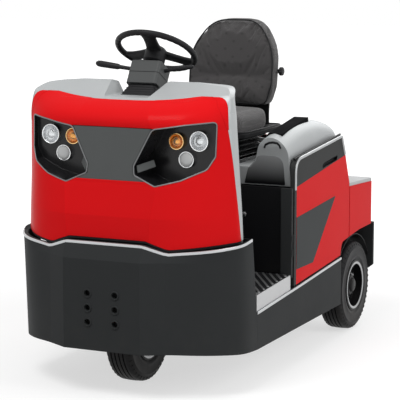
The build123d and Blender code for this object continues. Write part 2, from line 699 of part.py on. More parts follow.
# Tow coupling: three jaw plates on a base with a lifting pin
base_thick = 16
coupling = block(-80, 80, rear_bumper_end, rear_bumper_end + base_thick, jaw_low - 28,
                 jaw_low + 2 * jaw_pitch + jaw_thick + 16)
jaw_front = rear_bumper_end + base_thick - 1
pin_back = overall_length - 34
for i in range(3):
    low = jaw_low + i * jaw_pitch
    coupling += plan_shape([(46, jaw_front), (46, overall_length, 30), (-46, overall_length, 30),
                            (-46, jaw_front)], low, low + jaw_thick)
coupling -= rod((0, pin_back, jaw_low - 10), (0, pin_back, jaw_low + 2 * jaw_pitch + jaw_thick + 5),
                pin_radius + fit_gap)
save("tow_coupling", coupling)
jaw_high = jaw_low + 2 * jaw_pitch + jaw_thick
pin = rod((0, pin_back, jaw_low - 8), (0, pin_back, jaw_high + 38), pin_radius)
pin += rod((0, pin_back, jaw_high), (0, pin_back, jaw_high + 12), pin_radius + 10)
save("coupling_pin", pin)

# Steering column, levers and steering wheel
lean_angle = math.radians(wheel_tilt)
axis_dir = Vector(0, math.sin(lean_angle), math.cos(lean_angle))
hand_centre = Vector(0, at(hand_centre_back), hand_centre_height)
hand_plane = Plane(origin=hand_centre, x_dir=(1, 0, 0), z_dir=axis_dir)
housing_top = -74
housing_low = -173
housing = extrude(hand_plane.offset(housing_low) * Pos(0, -12) * RectangleRounded(136, 104, 14),
                  amount=housing_top - housing_low)
housing += extrude(hand_plane.offset(housing_low - 60) * Pos(0, -8) * RectangleRounded(112, 78, 14),
                   amount=61)
housing += extrude(hand_plane.offset(housing_top) * Circle(24), amount=14)
housing += extrude(hand_plane.offset(housing_top) * Circle(shaft_radius), amount=66)
housing -= outer_nose
save("steering_column", largest(housing))
levers = []
for s, tip, z0, z1, stem, grip_radius in ((-1, -243, 1252, 1271, 8, 12), (1, 197, 1246, 1270, 6, 8)):
    arm = rod((s * 60, 428, z0), (tip - s * 20, 428, z1 - 2), stem) - housing
    arm += rod((tip - s * 80, 428, z1 - 9), (tip, 428, z1), grip_radius)
    levers.append(largest(arm))
save("column_levers", *levers)
hub_low = housing_top + 18
hand_wheel = hand_plane * Torus(hand_radius, hand_grip)
hub = extrude(hand_plane.offset(hub_low) * Circle(hub_radius), amount=12 - hub_low)
hub = fillet(hub.edges().filter_by(GeomType.CIRCLE), 8)
hub -= extrude(hand_plane.offset(hub_low - 1) * Circle(shaft_radius + fit_gap), amount=-hub_low - 6)
hand_wheel += hub
for turn in (280, 40, 160):
    spoke = Rot(0, 0, turn) * Pos(hand_radius / 2 + 14, 0, -7) * Box(hand_radius - 26, 54, 12)
    hand_wheel += hand_plane * spoke
save("steering_wheel", hand_wheel)
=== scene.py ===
import json
import math

import bmesh
import bpy
from mathutils import Matrix, Vector
from mathutils.bvhtree import BVHTree


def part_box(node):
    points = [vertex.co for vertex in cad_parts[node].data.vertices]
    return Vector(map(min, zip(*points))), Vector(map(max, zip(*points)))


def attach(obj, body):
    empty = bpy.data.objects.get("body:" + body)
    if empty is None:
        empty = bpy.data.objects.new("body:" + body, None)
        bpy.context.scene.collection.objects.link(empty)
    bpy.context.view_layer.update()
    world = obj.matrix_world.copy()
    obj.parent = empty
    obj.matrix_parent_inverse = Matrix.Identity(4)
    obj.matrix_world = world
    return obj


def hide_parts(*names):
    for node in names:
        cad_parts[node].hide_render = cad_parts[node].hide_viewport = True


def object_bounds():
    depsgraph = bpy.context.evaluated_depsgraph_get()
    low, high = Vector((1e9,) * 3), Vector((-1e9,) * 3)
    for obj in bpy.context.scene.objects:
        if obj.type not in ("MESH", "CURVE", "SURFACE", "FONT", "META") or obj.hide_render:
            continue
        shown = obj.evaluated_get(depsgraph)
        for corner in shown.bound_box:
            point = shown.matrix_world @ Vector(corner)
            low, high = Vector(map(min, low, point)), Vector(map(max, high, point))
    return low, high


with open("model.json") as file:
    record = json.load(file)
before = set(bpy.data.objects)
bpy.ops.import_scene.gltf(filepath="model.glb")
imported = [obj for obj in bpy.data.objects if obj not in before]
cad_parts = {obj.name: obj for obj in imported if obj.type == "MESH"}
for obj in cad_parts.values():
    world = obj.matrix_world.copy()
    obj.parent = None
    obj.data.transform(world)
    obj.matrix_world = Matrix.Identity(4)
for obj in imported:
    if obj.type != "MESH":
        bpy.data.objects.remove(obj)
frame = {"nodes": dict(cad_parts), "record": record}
nodes = frame["nodes"]
joints = {joint["name"]: joint for joint in frame["record"]["behaviour"]["joints"]}
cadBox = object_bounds()
noseFace = cadBox[0][1]  # y of the front bumper's face, in metres
leftSide = Vector((1, 0, 0))
forward = Vector((0, -1, 0))
upward = Vector((0, 0, 1))


def place(x, back, z):
    # millimetres to the left of the middle, behind the bumper's face and above the ground
    return Vector((x / 1000, noseFace + back / 1000, z / 1000))


def mm(*values):
    scaled = tuple(value / 1000 for value in values)
    return scaled if len(scaled) > 1 else scaled[0]


# Shader groups that several finishes share

def newGroup(name, inputs, outputs):
    tree = bpy.data.node_groups.new(name, "ShaderNodeTree")
    for label, kind, value in inputs:
        socket = tree.interface.new_socket(label, in_out="INPUT", socket_type=kind)
        socket.default_value = value
    for label, kind in outputs:
        tree.interface.new_socket(label, in_out="OUTPUT", socket_type=kind)
    return tree, tree.nodes.new("NodeGroupInput"), tree.nodes.new("NodeGroupOutput")


def addNode(tree, kind, **values):
    node = tree.nodes.new(kind)
    for key, value in values.items():
        if hasattr(node, key):
            setattr(node, key, value)
        else:
            node.inputs[key].default_value = value
    return node


def mathNode(tree, operation, *values):
    node = tree.nodes.new("ShaderNodeMath")
    node.operation = operation
    for socket, value in zip(node.inputs, values):
        if isinstance(value, (int, float)):
            socket.default_value = value
        else:
            tree.links.new(value, socket)
    return node.outputs[0]


def mixColour(tree, factor, a, b):
    node = tree.nodes.new("ShaderNodeMix")
    node.data_type = "RGBA"
    for socket, value in ((node.inputs[0], factor), (node.inputs[6], a), (node.inputs[7], b)):
        if isinstance(value, (int, float)):
            socket.default_value = value
        elif isinstance(value, tuple):
            socket.default_value = (*value, 1) if len(value) == 3 else value
        else:
            tree.links.new(value, socket)
    return node.outputs[2]


def ramp(tree, value, low, high):
    node = tree.nodes.new("ShaderNodeMapRange")
    node.inputs["From Min"].default_value = low
    node.inputs["From Max"].default_value = high
    tree.links.new(value, node.inputs["Value"])
    return node.outputs["Result"]


def makeMouldGrain():
    # pebbled skin of moulded plastic, with slow cloudy changes of gloss
    tree, given, out = newGroup(
        "mouldGrain",
        [("Grain Size", "NodeSocketFloat", 900.0), ("Gloss", "NodeSocketFloat", 0.45),
         ("Gloss Change", "NodeSocketFloat", 0.08)],
        [("Height", "NodeSocketFloat"), ("Roughness", "NodeSocketFloat"), ("Cloud", "NodeSocketFloat")])
    coords = addNode(tree, "ShaderNodeTexCoord")
    pebbles = addNode(tree, "ShaderNodeTexVoronoi", feature="SMOOTH_F1")
    cloud = addNode(tree, "ShaderNodeTexNoise", Scale=7.0, Detail=4.0)
    tree.links.new(coords.outputs["Object"], pebbles.inputs["Vector"])
    tree.links.new(coords.outputs["Object"], cloud.inputs["Vector"])
    tree.links.new(given.outputs["Grain Size"], pebbles.inputs["Scale"])
    tree.links.new(pebbles.outputs["Distance"], out.inputs["Height"])
    swing = mathNode(tree, "SUBTRACT", cloud.outputs["Fac"], 0.5)
    swing = mathNode(tree, "MULTIPLY", swing, given.outputs["Gloss Change"])
    tree.links.new(mathNode(tree, "ADD", given.outputs["Gloss"], swing), out.inputs["Roughness"])
    tree.links.new(cloud.outputs["Fac"], out.inputs["Cloud"])
    return tree


def makePaintSkin():
    # sprayed paint: orange peel and a slow change of tone and gloss
    tree, given, out = newGroup(
        "paintSkin",
        [("Colour", "NodeSocketColor", (0.5, 0.5, 0.5, 1)), ("Tone Change", "NodeSocketFloat", 0.1),
         ("Gloss", "NodeSocketFloat", 0.3), ("Peel Size", "NodeSocketFloat", 240.0)],
        [("Colour", "NodeSocketColor"), ("Roughness", "NodeSocketFloat"), ("Height", "NodeSocketFloat")])
    coords = addNode(tree, "ShaderNodeTexCoord")
    peel = addNode(tree, "ShaderNodeTexNoise", Detail=2.0)
    cloud = addNode(tree, "ShaderNodeTexNoise", Scale=4.0, Detail=5.0)
    for texture in (peel, cloud):
        tree.links.new(coords.outputs["Object"], texture.inputs["Vector"])
    tree.links.new(given.outputs["Peel Size"], peel.inputs["Scale"])
    tree.links.new(peel.outputs["Fac"], out.inputs["Height"])
    dark = addNode(tree, "ShaderNodeHueSaturation", Value=0.82)
    tree.links.new(given.outputs["Colour"], dark.inputs["Color"])
    amount = mathNode(tree, "MULTIPLY", cloud.outputs["Fac"], given.outputs["Tone Change"])
    tree.links.new(mixColour(tree, amount, given.outputs["Colour"], dark.outputs["Color"]),
                   out.inputs["Colour"])
    rough = mathNode(tree, "MULTIPLY_ADD", cloud.outputs["Fac"], 0.12, given.outputs["Gloss"])
    tree.links.new(rough, out.inputs["Roughness"])
    return tree


def makeRoadDust():
    # pale dust that settles on low parts, patchy and thinning out upwards
    tree, given, out = newGroup(
        "roadDust",
        [("Colour", "NodeSocketColor", (0.02, 0.02, 0.02, 1)),
         ("Dust", "NodeSocketColor", (0.16, 0.145, 0.125, 1)),
         ("Top", "NodeSocketFloat", 0.35), ("Amount", "NodeSocketFloat", 0.35)],
        [("Colour", "NodeSocketColor")])
    coords = addNode(tree, "ShaderNodeTexCoord")
    split = addNode(tree, "ShaderNodeSeparateXYZ")
    patches = addNode(tree, "ShaderNodeTexNoise", Scale=18.0, Detail=6.0, Roughness=0.65)
    tree.links.new(coords.outputs["Object"], split.inputs[0])
    tree.links.new(coords.outputs["Object"], patches.inputs["Vector"])
    fall = mathNode(tree, "DIVIDE", split.outputs["Z"], given.outputs["Top"])
    fall = mathNode(tree, "SUBTRACT", 1.0, fall)
    fall.node.use_clamp = True
    mask = mathNode(tree, "MULTIPLY", fall, ramp(tree, patches.outputs["Fac"], 0.38, 0.72))
    mask = mathNode(tree, "MULTIPLY", mask, given.outputs["Amount"])
    tree.links.new(mixColour(tree, mask, given.outputs["Colour"], given.outputs["Dust"]),
                   out.inputs["Colour"])
    return tree


def makeClothWeave():
    # plain weave of two crossing yarns, with fuzz and small tufts in a staggered grid
    tree, given, out = newGroup(
        "clothWeave",
        [("Yarn Pitch", "NodeSocketFloat", 0.0022), ("Tuft Pitch", "NodeSocketFloat", 0.078),
         ("Tuft Size", "NodeSocketFloat", 0.075)],
        [("Height", "NodeSocketFloat"), ("Yarn", "NodeSocketFloat"), ("Tuft", "NodeSocketFloat"),
         ("Fuzz", "NodeSocketFloat")])
    coords = addNode(tree, "ShaderNodeTexCoord")
    split = addNode(tree, "ShaderNodeSeparateXYZ")
    tree.links.new(coords.outputs["Object"], split.inputs[0])
    lift = mathNode(tree, "ADD", split.outputs["Y"], split.outputs["Z"])

    def yarn(value):
        turn = mathNode(tree, "DIVIDE", value, given.outputs["Yarn Pitch"])
        return mathNode(tree, "ABSOLUTE", mathNode(tree, "SINE", mathNode(tree, "MULTIPLY", turn, math.pi)))

    def cell(value, offset):
        step = mathNode(tree, "ADD", mathNode(tree, "DIVIDE", value, given.outputs["Tuft Pitch"]), offset)
        return mathNode(tree, "SUBTRACT", mathNode(tree, "FRACT", step), 0.5)

    warp = yarn(split.outputs["X"])
    weft = yarn(lift)
    woven = mathNode(tree, "MULTIPLY", warp, weft)
    spots = []
    for shift in (0.0, 0.5):
        across = cell(split.outputs["X"], 10.0 + shift)
        along = cell(lift, 10.0 + shift)
        reach = mathNode(tree, "SQRT", mathNode(tree, "ADD", mathNode(tree, "MULTIPLY", across, across),
                                                mathNode(tree, "MULTIPLY", along, along)))
        edge = mathNode(tree, "SUBTRACT", given.outputs["Tuft Size"], reach)
        spots.append(ramp(tree, edge, -0.05, 0.05))
    tuft = mathNode(tree, "MAXIMUM", *spots)
    fuzz = addNode(tree, "ShaderNodeTexNoise", Scale=420.0, Detail=5.0)
    tree.links.new(coords.outputs["Object"], fuzz.inputs["Vector"])
    height = mathNode(tree, "MULTIPLY_ADD", fuzz.outputs["Fac"], 0.5, woven)
    height = mathNode(tree, "SUBTRACT", height, mathNode(tree, "MULTIPLY", tuft, 1.6))
    tree.links.new(height, out.inputs["Height"])
    tree.links.new(woven, out.inputs["Yarn"])
    tree.links.new(tuft, out.inputs["Tuft"])
    tree.links.new(fuzz.outputs["Fac"], out.inputs["Fuzz"])
    return tree


mouldGrain = makeMouldGrain()
paintSkin = makePaintSkin()
roadDust = makeRoadDust()
clothWeave = makeClothWeave()


def newMaterial(name):
    material = bpy.data.materials.new(name)
    material.use_nodes = True
    tree = material.node_tree
    return material, tree, tree.nodes["Principled BSDF"]


def useGroup(tree, group, **values):
    node = tree.nodes.new("ShaderNodeGroup")
    node.node_tree = group
    for key, value in values.items():
        node.inputs[key.replace("_", " ")].default_value = value
    return node


def addBump(tree, shader, height, strength, distance, soften=0.0):
    bump = addNode(tree, "ShaderNodeBump", Strength=strength, Distance=distance)
    tree.links.new(height, bump.inputs["Height"])
    if soften:
        edge = addNode(tree, "ShaderNodeBevel", samples=4, Radius=soften)
        tree.links.new(edge.outputs["Normal"], bump.inputs["Normal"])
    tree.links.new(bump.outputs["Normal"], shader.inputs["Normal"])


def mouldedPlastic(name, colour, gloss, grain=900.0, depth=0.0002, soften=0.003, coat=0.0, metal=0.0,
                   sheen=0.2, shadeFade=None):
    material, tree, shader = newMaterial(name)
    skin = useGroup(tree, mouldGrain, Grain_Size=grain, Gloss=gloss, Gloss_Change=0.12)
    pale = tuple(min(c * 1.12 + 0.002, 1) for c in colour)
    tone = mixColour(tree, skin.outputs["Cloud"], colour, pale)
    # painted shade: when given, the colour darkens towards the deep colour below the given heights, in place
    # of shading
    if shadeFade:
        low, high, deep = shadeFade
        coords = addNode(tree, "ShaderNodeTexCoord")
        parts = addNode(tree, "ShaderNodeSeparateXYZ")
        tree.links.new(coords.outputs["Object"], parts.inputs[0])
        tone = mixColour(tree, ramp(tree, parts.outputs["Z"], low, high), deep, tone)
    tree.links.new(tone, shader.inputs["Base Color"])
    tree.links.new(skin.outputs["Roughness"], shader.inputs["Roughness"])
    addBump(tree, shader, skin.outputs["Height"], 0.35, depth, soften)
    shader.inputs["Coat Weight"].default_value = coat
    shader.inputs["Metallic"].default_value = metal
    shader.inputs["Specular IOR Level"].default_value = sheen
    return material


def sprayedPaint(name, colour, gloss, coat, soften=0.004, change=0.3, peel=0.00004, dust=0.0, dustTop=0.4,
                 sheen=0.1):
    material, tree, shader = newMaterial(name)
    skin = useGroup(tree, paintSkin, Colour=(*colour, 1), Gloss=gloss, Tone_Change=change)
    tone = skin.outputs["Colour"]
    if dust:
        settled = useGroup(tree, roadDust, Amount=dust, Top=dustTop)
        tree.links.new(tone, settled.inputs["Colour"])
        tone = settled.outputs["Colour"]
    tree.links.new(tone, shader.inputs["Base Color"])
    tree.links.new(skin.outputs["Roughness"], shader.inputs["Roughness"])
    addBump(tree, shader, skin.outputs["Height"], 0.25, peel, soften)
    shader.inputs["Coat Weight"].default_value = coat
    shader.inputs["Coat Roughness"].default_value = 0.12
    shader.inputs["Specular IOR Level"].default_value = sheen
    return material


def tyreRubber():
    material, tree, shader = newMaterial("tyreRubber")
    skin = useGroup(tree, mouldGrain, Grain_Size=700.0, Gloss=0.46, Gloss_Change=0.2)
    settled = useGroup(tree, roadDust, Amount=0.16, Top=0.3)
    tree.links.new(mixColour(tree, skin.outputs["Cloud"], (0.007, 0.007, 0.008), (0.013, 0.013, 0.014)),
                   settled.inputs["Colour"])
    tree.links.new(settled.outputs["Colour"], shader.inputs["Base Color"])
    tree.links.new(skin.outputs["Roughness"], shader.inputs["Roughness"])
    addBump(tree, shader, skin.outputs["Height"], 0.3, 0.0003)
    shader.inputs["Specular IOR Level"].default_value = 0.12
    return material


def seatCloth():
    material, tree, shader = newMaterial("seatCloth")
    weave = useGroup(tree, clothWeave)
    tone = mixColour(tree, weave.outputs["Yarn"], (0.026, 0.0245, 0.025), (0.062, 0.058, 0.059))
    tone = mixColour(tree, mathNode(tree, "MULTIPLY", weave.outputs["Fuzz"], 0.35), tone,
                     (0.085, 0.08, 0.08))
    tone = mixColour(tree, mathNode(tree, "MULTIPLY", weave.outputs["Tuft"], 0.55), tone,
                     (0.014, 0.013, 0.013))
    tree.links.new(tone, shader.inputs["Base Color"])
    shader.inputs["Roughness"].default_value = 0.92
    shader.inputs["Sheen Weight"].default_value = 0.25
    shader.inputs["Sheen Roughness"].default_value = 0.5
    addBump(tree, shader, weave.outputs["Height"], 0.6, 0.0006)
    return material


def brightMetal(name, colour, gloss, brushed=0.0):
    material, tree, shader = newMaterial(name)
    skin = useGroup(tree, mouldGrain, Grain_Size=260.0, Gloss=gloss, Gloss_Change=0.08)
    deep = tuple(c * 0.88 for c in colour)
    tree.links.new(mixColour(tree, skin.outputs["Cloud"], deep, colour), shader.inputs["Base Color"])
    tree.links.new(skin.outputs["Roughness"], shader.inputs["Roughness"])
    shader.inputs["Metallic"].default_value = 1.0
    if brushed:
        coords = addNode(tree, "ShaderNodeTexCoord")
        stretch = addNode(tree, "ShaderNodeMapping", Scale=(1, 0.02, 1))
        scratch = addNode(tree, "ShaderNodeTexNoise", Scale=900.0, Detail=2.0)
        tree.links.new(coords.outputs["Object"], stretch.inputs["Vector"])
        tree.links.new(stretch.outputs["Vector"], scratch.inputs["Vector"])
        addBump(tree, shader, scratch.outputs["Fac"], 0.2, brushed, 0.002)
    return material


def clearLens(name, colour, gloss=0.03):
    material, tree, shader = newMaterial(name)
    skin = useGroup(tree, mouldGrain, Grain_Size=300.0, Gloss=gloss, Gloss_Change=0.02)
    tree.links.new(mixColour(tree, skin.outputs["Cloud"], tuple(c * 0.94 for c in colour), colour),
                   shader.inputs["Base Color"])
    tree.links.new(skin.outputs["Roughness"], shader.inputs["Roughness"])
    shader.inputs["Transmission Weight"].default_value = 0.92
    shader.inputs["IOR"].default_value = 1.45
    return material


finishes = {
    "cowlRed": sprayedPaint("cowlRed", (0.75, 0.0085, 0.011), 0.3, 0.04, sheen=0.015),
    "bumperGrey": sprayedPaint("bumperGrey", (0.034, 0.036, 0.037), 0.5, 0.0, peel=0.0001, dust=0.06,
                               sheen=0.05),
    "bandGrey": mouldedPlastic("bandGrey", (0.03, 0.031, 0.031), 0.55, sheen=0.08),
    "wedgeGrey": sprayedPaint("wedgeGrey", (0.066, 0.07, 0.071), 0.5, 0.0, soften=0.0, sheen=0.04),
    "frameBlack": sprayedPaint("frameBlack", (0.008, 0.008, 0.009), 0.5, 0.0, dust=0.1, dustTop=0.5,
                               sheen=0.1),
    "visorGrey": mouldedPlastic("visorGrey", (0.088, 0.093, 0.093), 0.5, sheen=0.12),
    "columnGrey": mouldedPlastic("columnGrey", (0.062, 0.065, 0.065), 0.5, sheen=0.2),
    "dashSilver": mouldedPlastic("dashSilver", (0.42, 0.435, 0.44), 0.5, depth=0.0001, metal=0.35),
    # painted highlight: bright silver in place of the light caught by the bevelled top edges of the bumper
    # and sills
    "trimSilver": mouldedPlastic("trimSilver", (0.55, 0.565, 0.575), 0.3, depth=0.00003, soften=0.0,
                                 metal=0.5),
    # painted highlight: silver in place of the light caught by the rounded edge of the dark door band
    "beadSilver": mouldedPlastic("beadSilver", (0.4, 0.41, 0.415), 0.36, depth=0.00003, soften=0.0,
                                 metal=0.5),
    # painted shade: mid grey at the top that fades to near black towards the bottom, in place of the shading
    # of the console fronts
    "recessGrey": mouldedPlastic("recessGrey", (0.3, 0.306, 0.31), 0.5, sheen=0.1,
                                 shadeFade=(0.768, 0.905, (0.006, 0.006, 0.007))),
    "trimBlack": mouldedPlastic("trimBlack", (0.007, 0.007, 0.008), 0.45, sheen=0.2),
    "trayBlack": mouldedPlastic("trayBlack", (0.006, 0.006, 0.007), 0.8, sheen=0.02),
    "podBlack": mouldedPlastic("podBlack", (0.006, 0.006, 0.007), 0.26, depth=0.00005, sheen=0.35),
    "podEdge": mouldedPlastic("podEdge", (0.2, 0.205, 0.21), 0.36, depth=0.00003, soften=0.0, metal=0.2),
    "softBlack": mouldedPlastic("softBlack", (0.009, 0.009, 0.01), 0.5, grain=500.0, depth=0.0004,
                                sheen=0.16),
    "bellowsBlack": mouldedPlastic("bellowsBlack", (0.008, 0.008, 0.009), 0.26, grain=500.0, depth=0.0002,
                                   sheen=0.9),
    "lampClear": clearLens("lampClear", (0.93, 0.95, 0.96), 0.1),
    "lampAmber": clearLens("lampAmber", (0.97, 0.66, 0.3), 0.1),
    "lampWhite": mouldedPlastic("lampWhite", (0.66, 0.67, 0.67), 0.18, grain=300.0, depth=0.00003,
                                soften=0.0, sheen=0.4),
    "lampRed": mouldedPlastic("lampRed", (0.3, 0.004, 0.005), 0.2, grain=300.0, coat=0.06, sheen=0.08),
    "lampChrome": brightMetal("lampChrome", (0.86, 0.87, 0.88), 0.24),
    "lampBrass": brightMetal("lampBrass", (0.9, 0.6, 0.28), 0.22),
    "stepMetal": brightMetal("stepMetal", (0.5, 0.505, 0.51), 0.42, brushed=0.0004),
    "seatCloth": seatCloth(),
    "tyreRubber": tyreRubber(),
    "rimBlack": sprayedPaint("rimBlack", (0.006, 0.006, 0.007), 0.35, 0.1, dust=0.08, dustTop=0.5),
    "rimSilver": brightMetal("rimSilver", (0.4, 0.405, 0.41), 0.34),
    "castBlack": sprayedPaint("castBlack", (0.016, 0.016, 0.016), 0.55, 0.0, peel=0.0003, dust=0.15),
    "pinSteel": brightMetal("pinSteel", (0.5, 0.5, 0.51), 0.28, brushed=0.0002),
}

dressing = {
    "cowlRed": ["front_cowl", "battery_door_left", "battery_door_right", "rear_body", "rear_bulkhead"],
    "bumperGrey": ["front_bumper", "side_sills", "rear_bumper", "corner_posts"],
    "bandGrey": ["door_band_left", "door_band_right"],
    "frameBlack": ["chassis_frame", "floor_pan", "battery_box", "seat_frame", "rear_axle", "steer_fork",
                   "battery"],
    "visorGrey": ["visor_panel"],
    "columnGrey": ["steering_column"],
    "dashSilver": ["dash_shell", "seat_hood", "rear_deck"],
    "podBlack": ["lamp_pods"],
    "trimBlack": ["nose_back_panel", "column_levers", "pedals", "seat_suspension", "seat_knob",
                  "steering_wheel"],
    "trayBlack": ["console_trays"],
    "lampChrome": ["headlamps", "position_lamps"],
    "lampBrass": ["indicator_lamps"],
    "lampRed": ["tail_lamps"],
    "stepMetal": ["step_plates"],
    "seatCloth": ["seat_cushion", "seat_back"],
    "tyreRubber": ["front_tyre", "rear_tyre_left", "rear_tyre_right"],
    "rimBlack": ["front_rim", "rear_rim_left", "rear_rim_right"],
    "castBlack": ["tow_coupling"],
    "pinSteel": ["coupling_pin"],
}
for finish, names in dressing.items():
    for name in names:
        nodes[name].data.materials.clear()
        nodes[name].data.materials.append(finishes[finish])
print("dressed", sum(len(names) for names in dressing.values()), "CAD pieces")


# Mesh tools

def skinOf(name):
    work = bmesh.new()
    work.from_mesh(nodes[name].data)
    tree = BVHTree.FromBMesh(work)
    work.free()
    return tree


def toMesh(work, name, sharp=32):
    bmesh.ops.remove_doubles(work, verts=work.verts, dist=0.000002)
    bmesh.ops.recalc_face_normals(work, faces=work.faces)
    mesh = bpy.data.meshes.new(name)
    work.to_mesh(mesh)
    work.free()
    mesh.polygons.foreach_set("use_smooth", [True] * len(mesh.polygons))
    mesh.set_sharp_from_angle(angle=math.radians(sharp))
    return mesh


def addPiece(name, made, slotName, finish=None, *stands, body="chassis", sharp=32):
    # made is a BMesh or a finished mesh that already has its material
    mesh = toMesh(made, name, sharp) if isinstance(made, bmesh.types.BMesh) else made
    piece = bpy.data.objects.new(name, mesh)
    bpy.context.collection.objects.link(piece)
    if finish:
        mesh.materials.clear()
        mesh.materials.append(finishes[finish])
    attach(piece, body)
    if stands:
        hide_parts(*stands)


def bridge(work, a, b, loop):
    count = len(a)
    if len(b) == 1 and count > 1:
        a, b, count = b, a, len(b)
    if len(a) == 1:
        ends = len(b) if loop else len(b) - 1
        for i in range(ends):
            work.faces.new((a[0], b[i], b[(i + 1) % len(b)]))
        return
    for i in range(count if loop else count - 1):
        j = (i + 1) % count
        work.faces.new((a[i], a[j], b[j], b[i]))


def lathe(work, profile, centre, axis, steps=48, closed=False):
    # profile points are (along the axis, radius), in metres
    axis = axis.normalized()
    side = axis.orthogonal().normalized()
    other = axis.cross(side)
    rings = []
    for along, radius in profile:
        spot = centre + axis * along
        if radius < 0.00001:
            rings.append([work.verts.new(spot)])
            continue
        turns = [2 * math.pi * i / steps for i in range(steps)]
        around = [side * math.cos(t) + other * math.sin(t) for t in turns]
        rings.append([work.verts.new(spot + ray * radius) for ray in around])
    pairs = list(zip(rings, rings[1:]))
    if closed:
        pairs.append((rings[-1], rings[0]))
    for a, b in pairs:
        bridge(work, a, b, True)


def sweep(work, path, outward, profile, closed=False):
    # profile points are (outwards, sideways); outward is one direction or one for each point
    rings = []
    count = len(path)
    for i, spot in enumerate(path):
        before = path[i - 1] if i or closed else spot
        after = path[(i + 1) % count] if i < count - 1 or closed else spot
        run = (after - before).normalized()
        out = outward[i] if isinstance(outward, list) else outward
        out = (out - run * out.dot(run)).normalized()
        side = run.cross(out)
        rings.append([work.verts.new(spot + out * a + side * b) for a, b in profile])
    pairs = list(zip(rings, rings[1:]))
    if closed:
        pairs.append((rings[-1], rings[0]))
    for a, b in pairs:
        bridge(work, a, b, True)
    if not closed:
        work.faces.new(rings[0])
        work.faces.new(list(reversed(rings[-1])))


def cornersOf(node):
    return [Vector(c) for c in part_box(node)]


def inOrder(points, s):
    return points if s > 0 else points[::-1]


def roundedPath(points, closed=False, samples=8):
    # each point is (place, radius); corners become smooth bends
    path = []
    count = len(points)
    for i, (spot, radius) in enumerate(points):
        if not radius or (not closed and i in (0, count - 1)):
            path.append(spot.copy())
            continue
        before = points[i - 1][0] - spot
        after = points[(i + 1) % count][0] - spot
        reach = min(radius / math.tan(before.angle(after) / 2), before.length * 0.49, after.length * 0.49)
        start = spot + before.normalized() * reach
        end = spot + after.normalized() * reach
        for k in range(samples + 1):
            t = k / samples
            path.append(start * (1 - t) ** 2 + spot * 2 * t * (1 - t) + end * t ** 2)
    return path


def resample(path, step, closed=False):
    line = path + path[:1] if closed else path
    spots = []
    for a, b in zip(line, line[1:]):
        parts = max(1, round((b - a).length / step))
        spots += [a.lerp(b, k / parts) for k in range(parts)]
    return spots if closed else spots + [line[-1]]


def halfRound(width, height, points=7):
    turns = [math.pi * k / (points - 1) for k in range(points)]
    arc = [(height * math.sin(t), -width / 2 * math.cos(t)) for t in turns]
    return arc + [(-height * 0.4, width / 2), (-height * 0.4, -width / 2)]


def roundBox(halfA, halfB, corner, points=4):
    outline = []
    for k, (sa, sb) in enumerate(((1, 1), (-1, 1), (-1, -1), (1, -1))):
        for i in range(points + 1):
            t = math.pi / 2 * (k + i / points)
            outline.append((sa * (halfA - corner) + corner * math.cos(t),
                            sb * (halfB - corner) + corner * math.sin(t)))
    return outline


def slab(work, outline, thick, bevel, steps=2):
    # a plate from its outer outline (in space), grown along its own normal, with rounded edges
    face = work.faces.new([work.verts.new(p) for p in outline])
    face.normal_update()
    grown = bmesh.ops.extrude_face_region(work, geom=[face])
    moved = [v for v in grown["geom"] if isinstance(v, bmesh.types.BMVert)]
    bmesh.ops.translate(work, verts=moved, vec=face.normal * thick)
    if bevel:
        top = [e for e in work.edges if all(v in moved for v in e.verts)]
        bmesh.ops.bevel(work, geom=top, offset=bevel, segments=steps, affect="EDGES", profile=0.5)


# Geometry Nodes tree for what repeats

def alignTo(tree, rotation, vector, axis, pivot):
    node = tree.nodes.new("FunctionNodeAlignRotationToVector")
    node.axis = axis
    node.pivot_axis = pivot
    if rotation:
        tree.links.new(rotation, node.inputs["Rotation"])
    tree.links.new(vector, node.inputs["Vector"])
    return node.outputs["Rotation"]


def namedVector(tree, name):
    node = tree.nodes.new("GeometryNodeInputNamedAttribute")
    node.data_type = "FLOAT_VECTOR"
    node.inputs["Name"].default_value = name
    return node.outputs["Attribute"]


def makeSetOnPoints():
    # sets the item on each point, turned to the point's facing and along directions
    tree = bpy.data.node_groups.new("setOnPoints", "GeometryNodeTree")
    for label, kind in (("Geometry", "NodeSocketGeometry"), ("Item", "NodeSocketObject"),
                        ("Finish", "NodeSocketMaterial"), ("Size", "NodeSocketFloat")):
        socket = tree.interface.new_socket(label, in_out="INPUT", socket_type=kind)
    socket.default_value = 1.0
    tree.interface.new_socket("Geometry", in_out="OUTPUT", socket_type="NodeSocketGeometry")
    given = tree.nodes.new("NodeGroupInput")
    out = tree.nodes.new("NodeGroupOutput")
    item = tree.nodes.new("GeometryNodeObjectInfo")
    tree.links.new(given.outputs["Item"], item.inputs["Object"])
    turn = alignTo(tree, None, namedVector(tree, "facing"), "Z", "AUTO")
    turn = alignTo(tree, turn, namedVector(tree, "along"), "X", "Z")
    put = tree.nodes.new("GeometryNodeInstanceOnPoints")
    for source, label in ((given.outputs["Geometry"], "Points"), (item.outputs["Geometry"], "Instance"),
                          (turn, "Rotation"), (given.outputs["Size"], "Scale")):
        tree.links.new(source, put.inputs[label])
    real = tree.nodes.new("GeometryNodeRealizeInstances")
    paint = tree.nodes.new("GeometryNodeSetMaterial")
    tree.links.new(put.outputs[0], real.inputs[0])
    tree.links.new(real.outputs[0], paint.inputs["Geometry"])
    tree.links.new(given.outputs["Finish"], paint.inputs["Material"])
    tree.links.new(paint.outputs[0], out.inputs[0])
    return tree


setOnPoints = makeSetOnPoints()


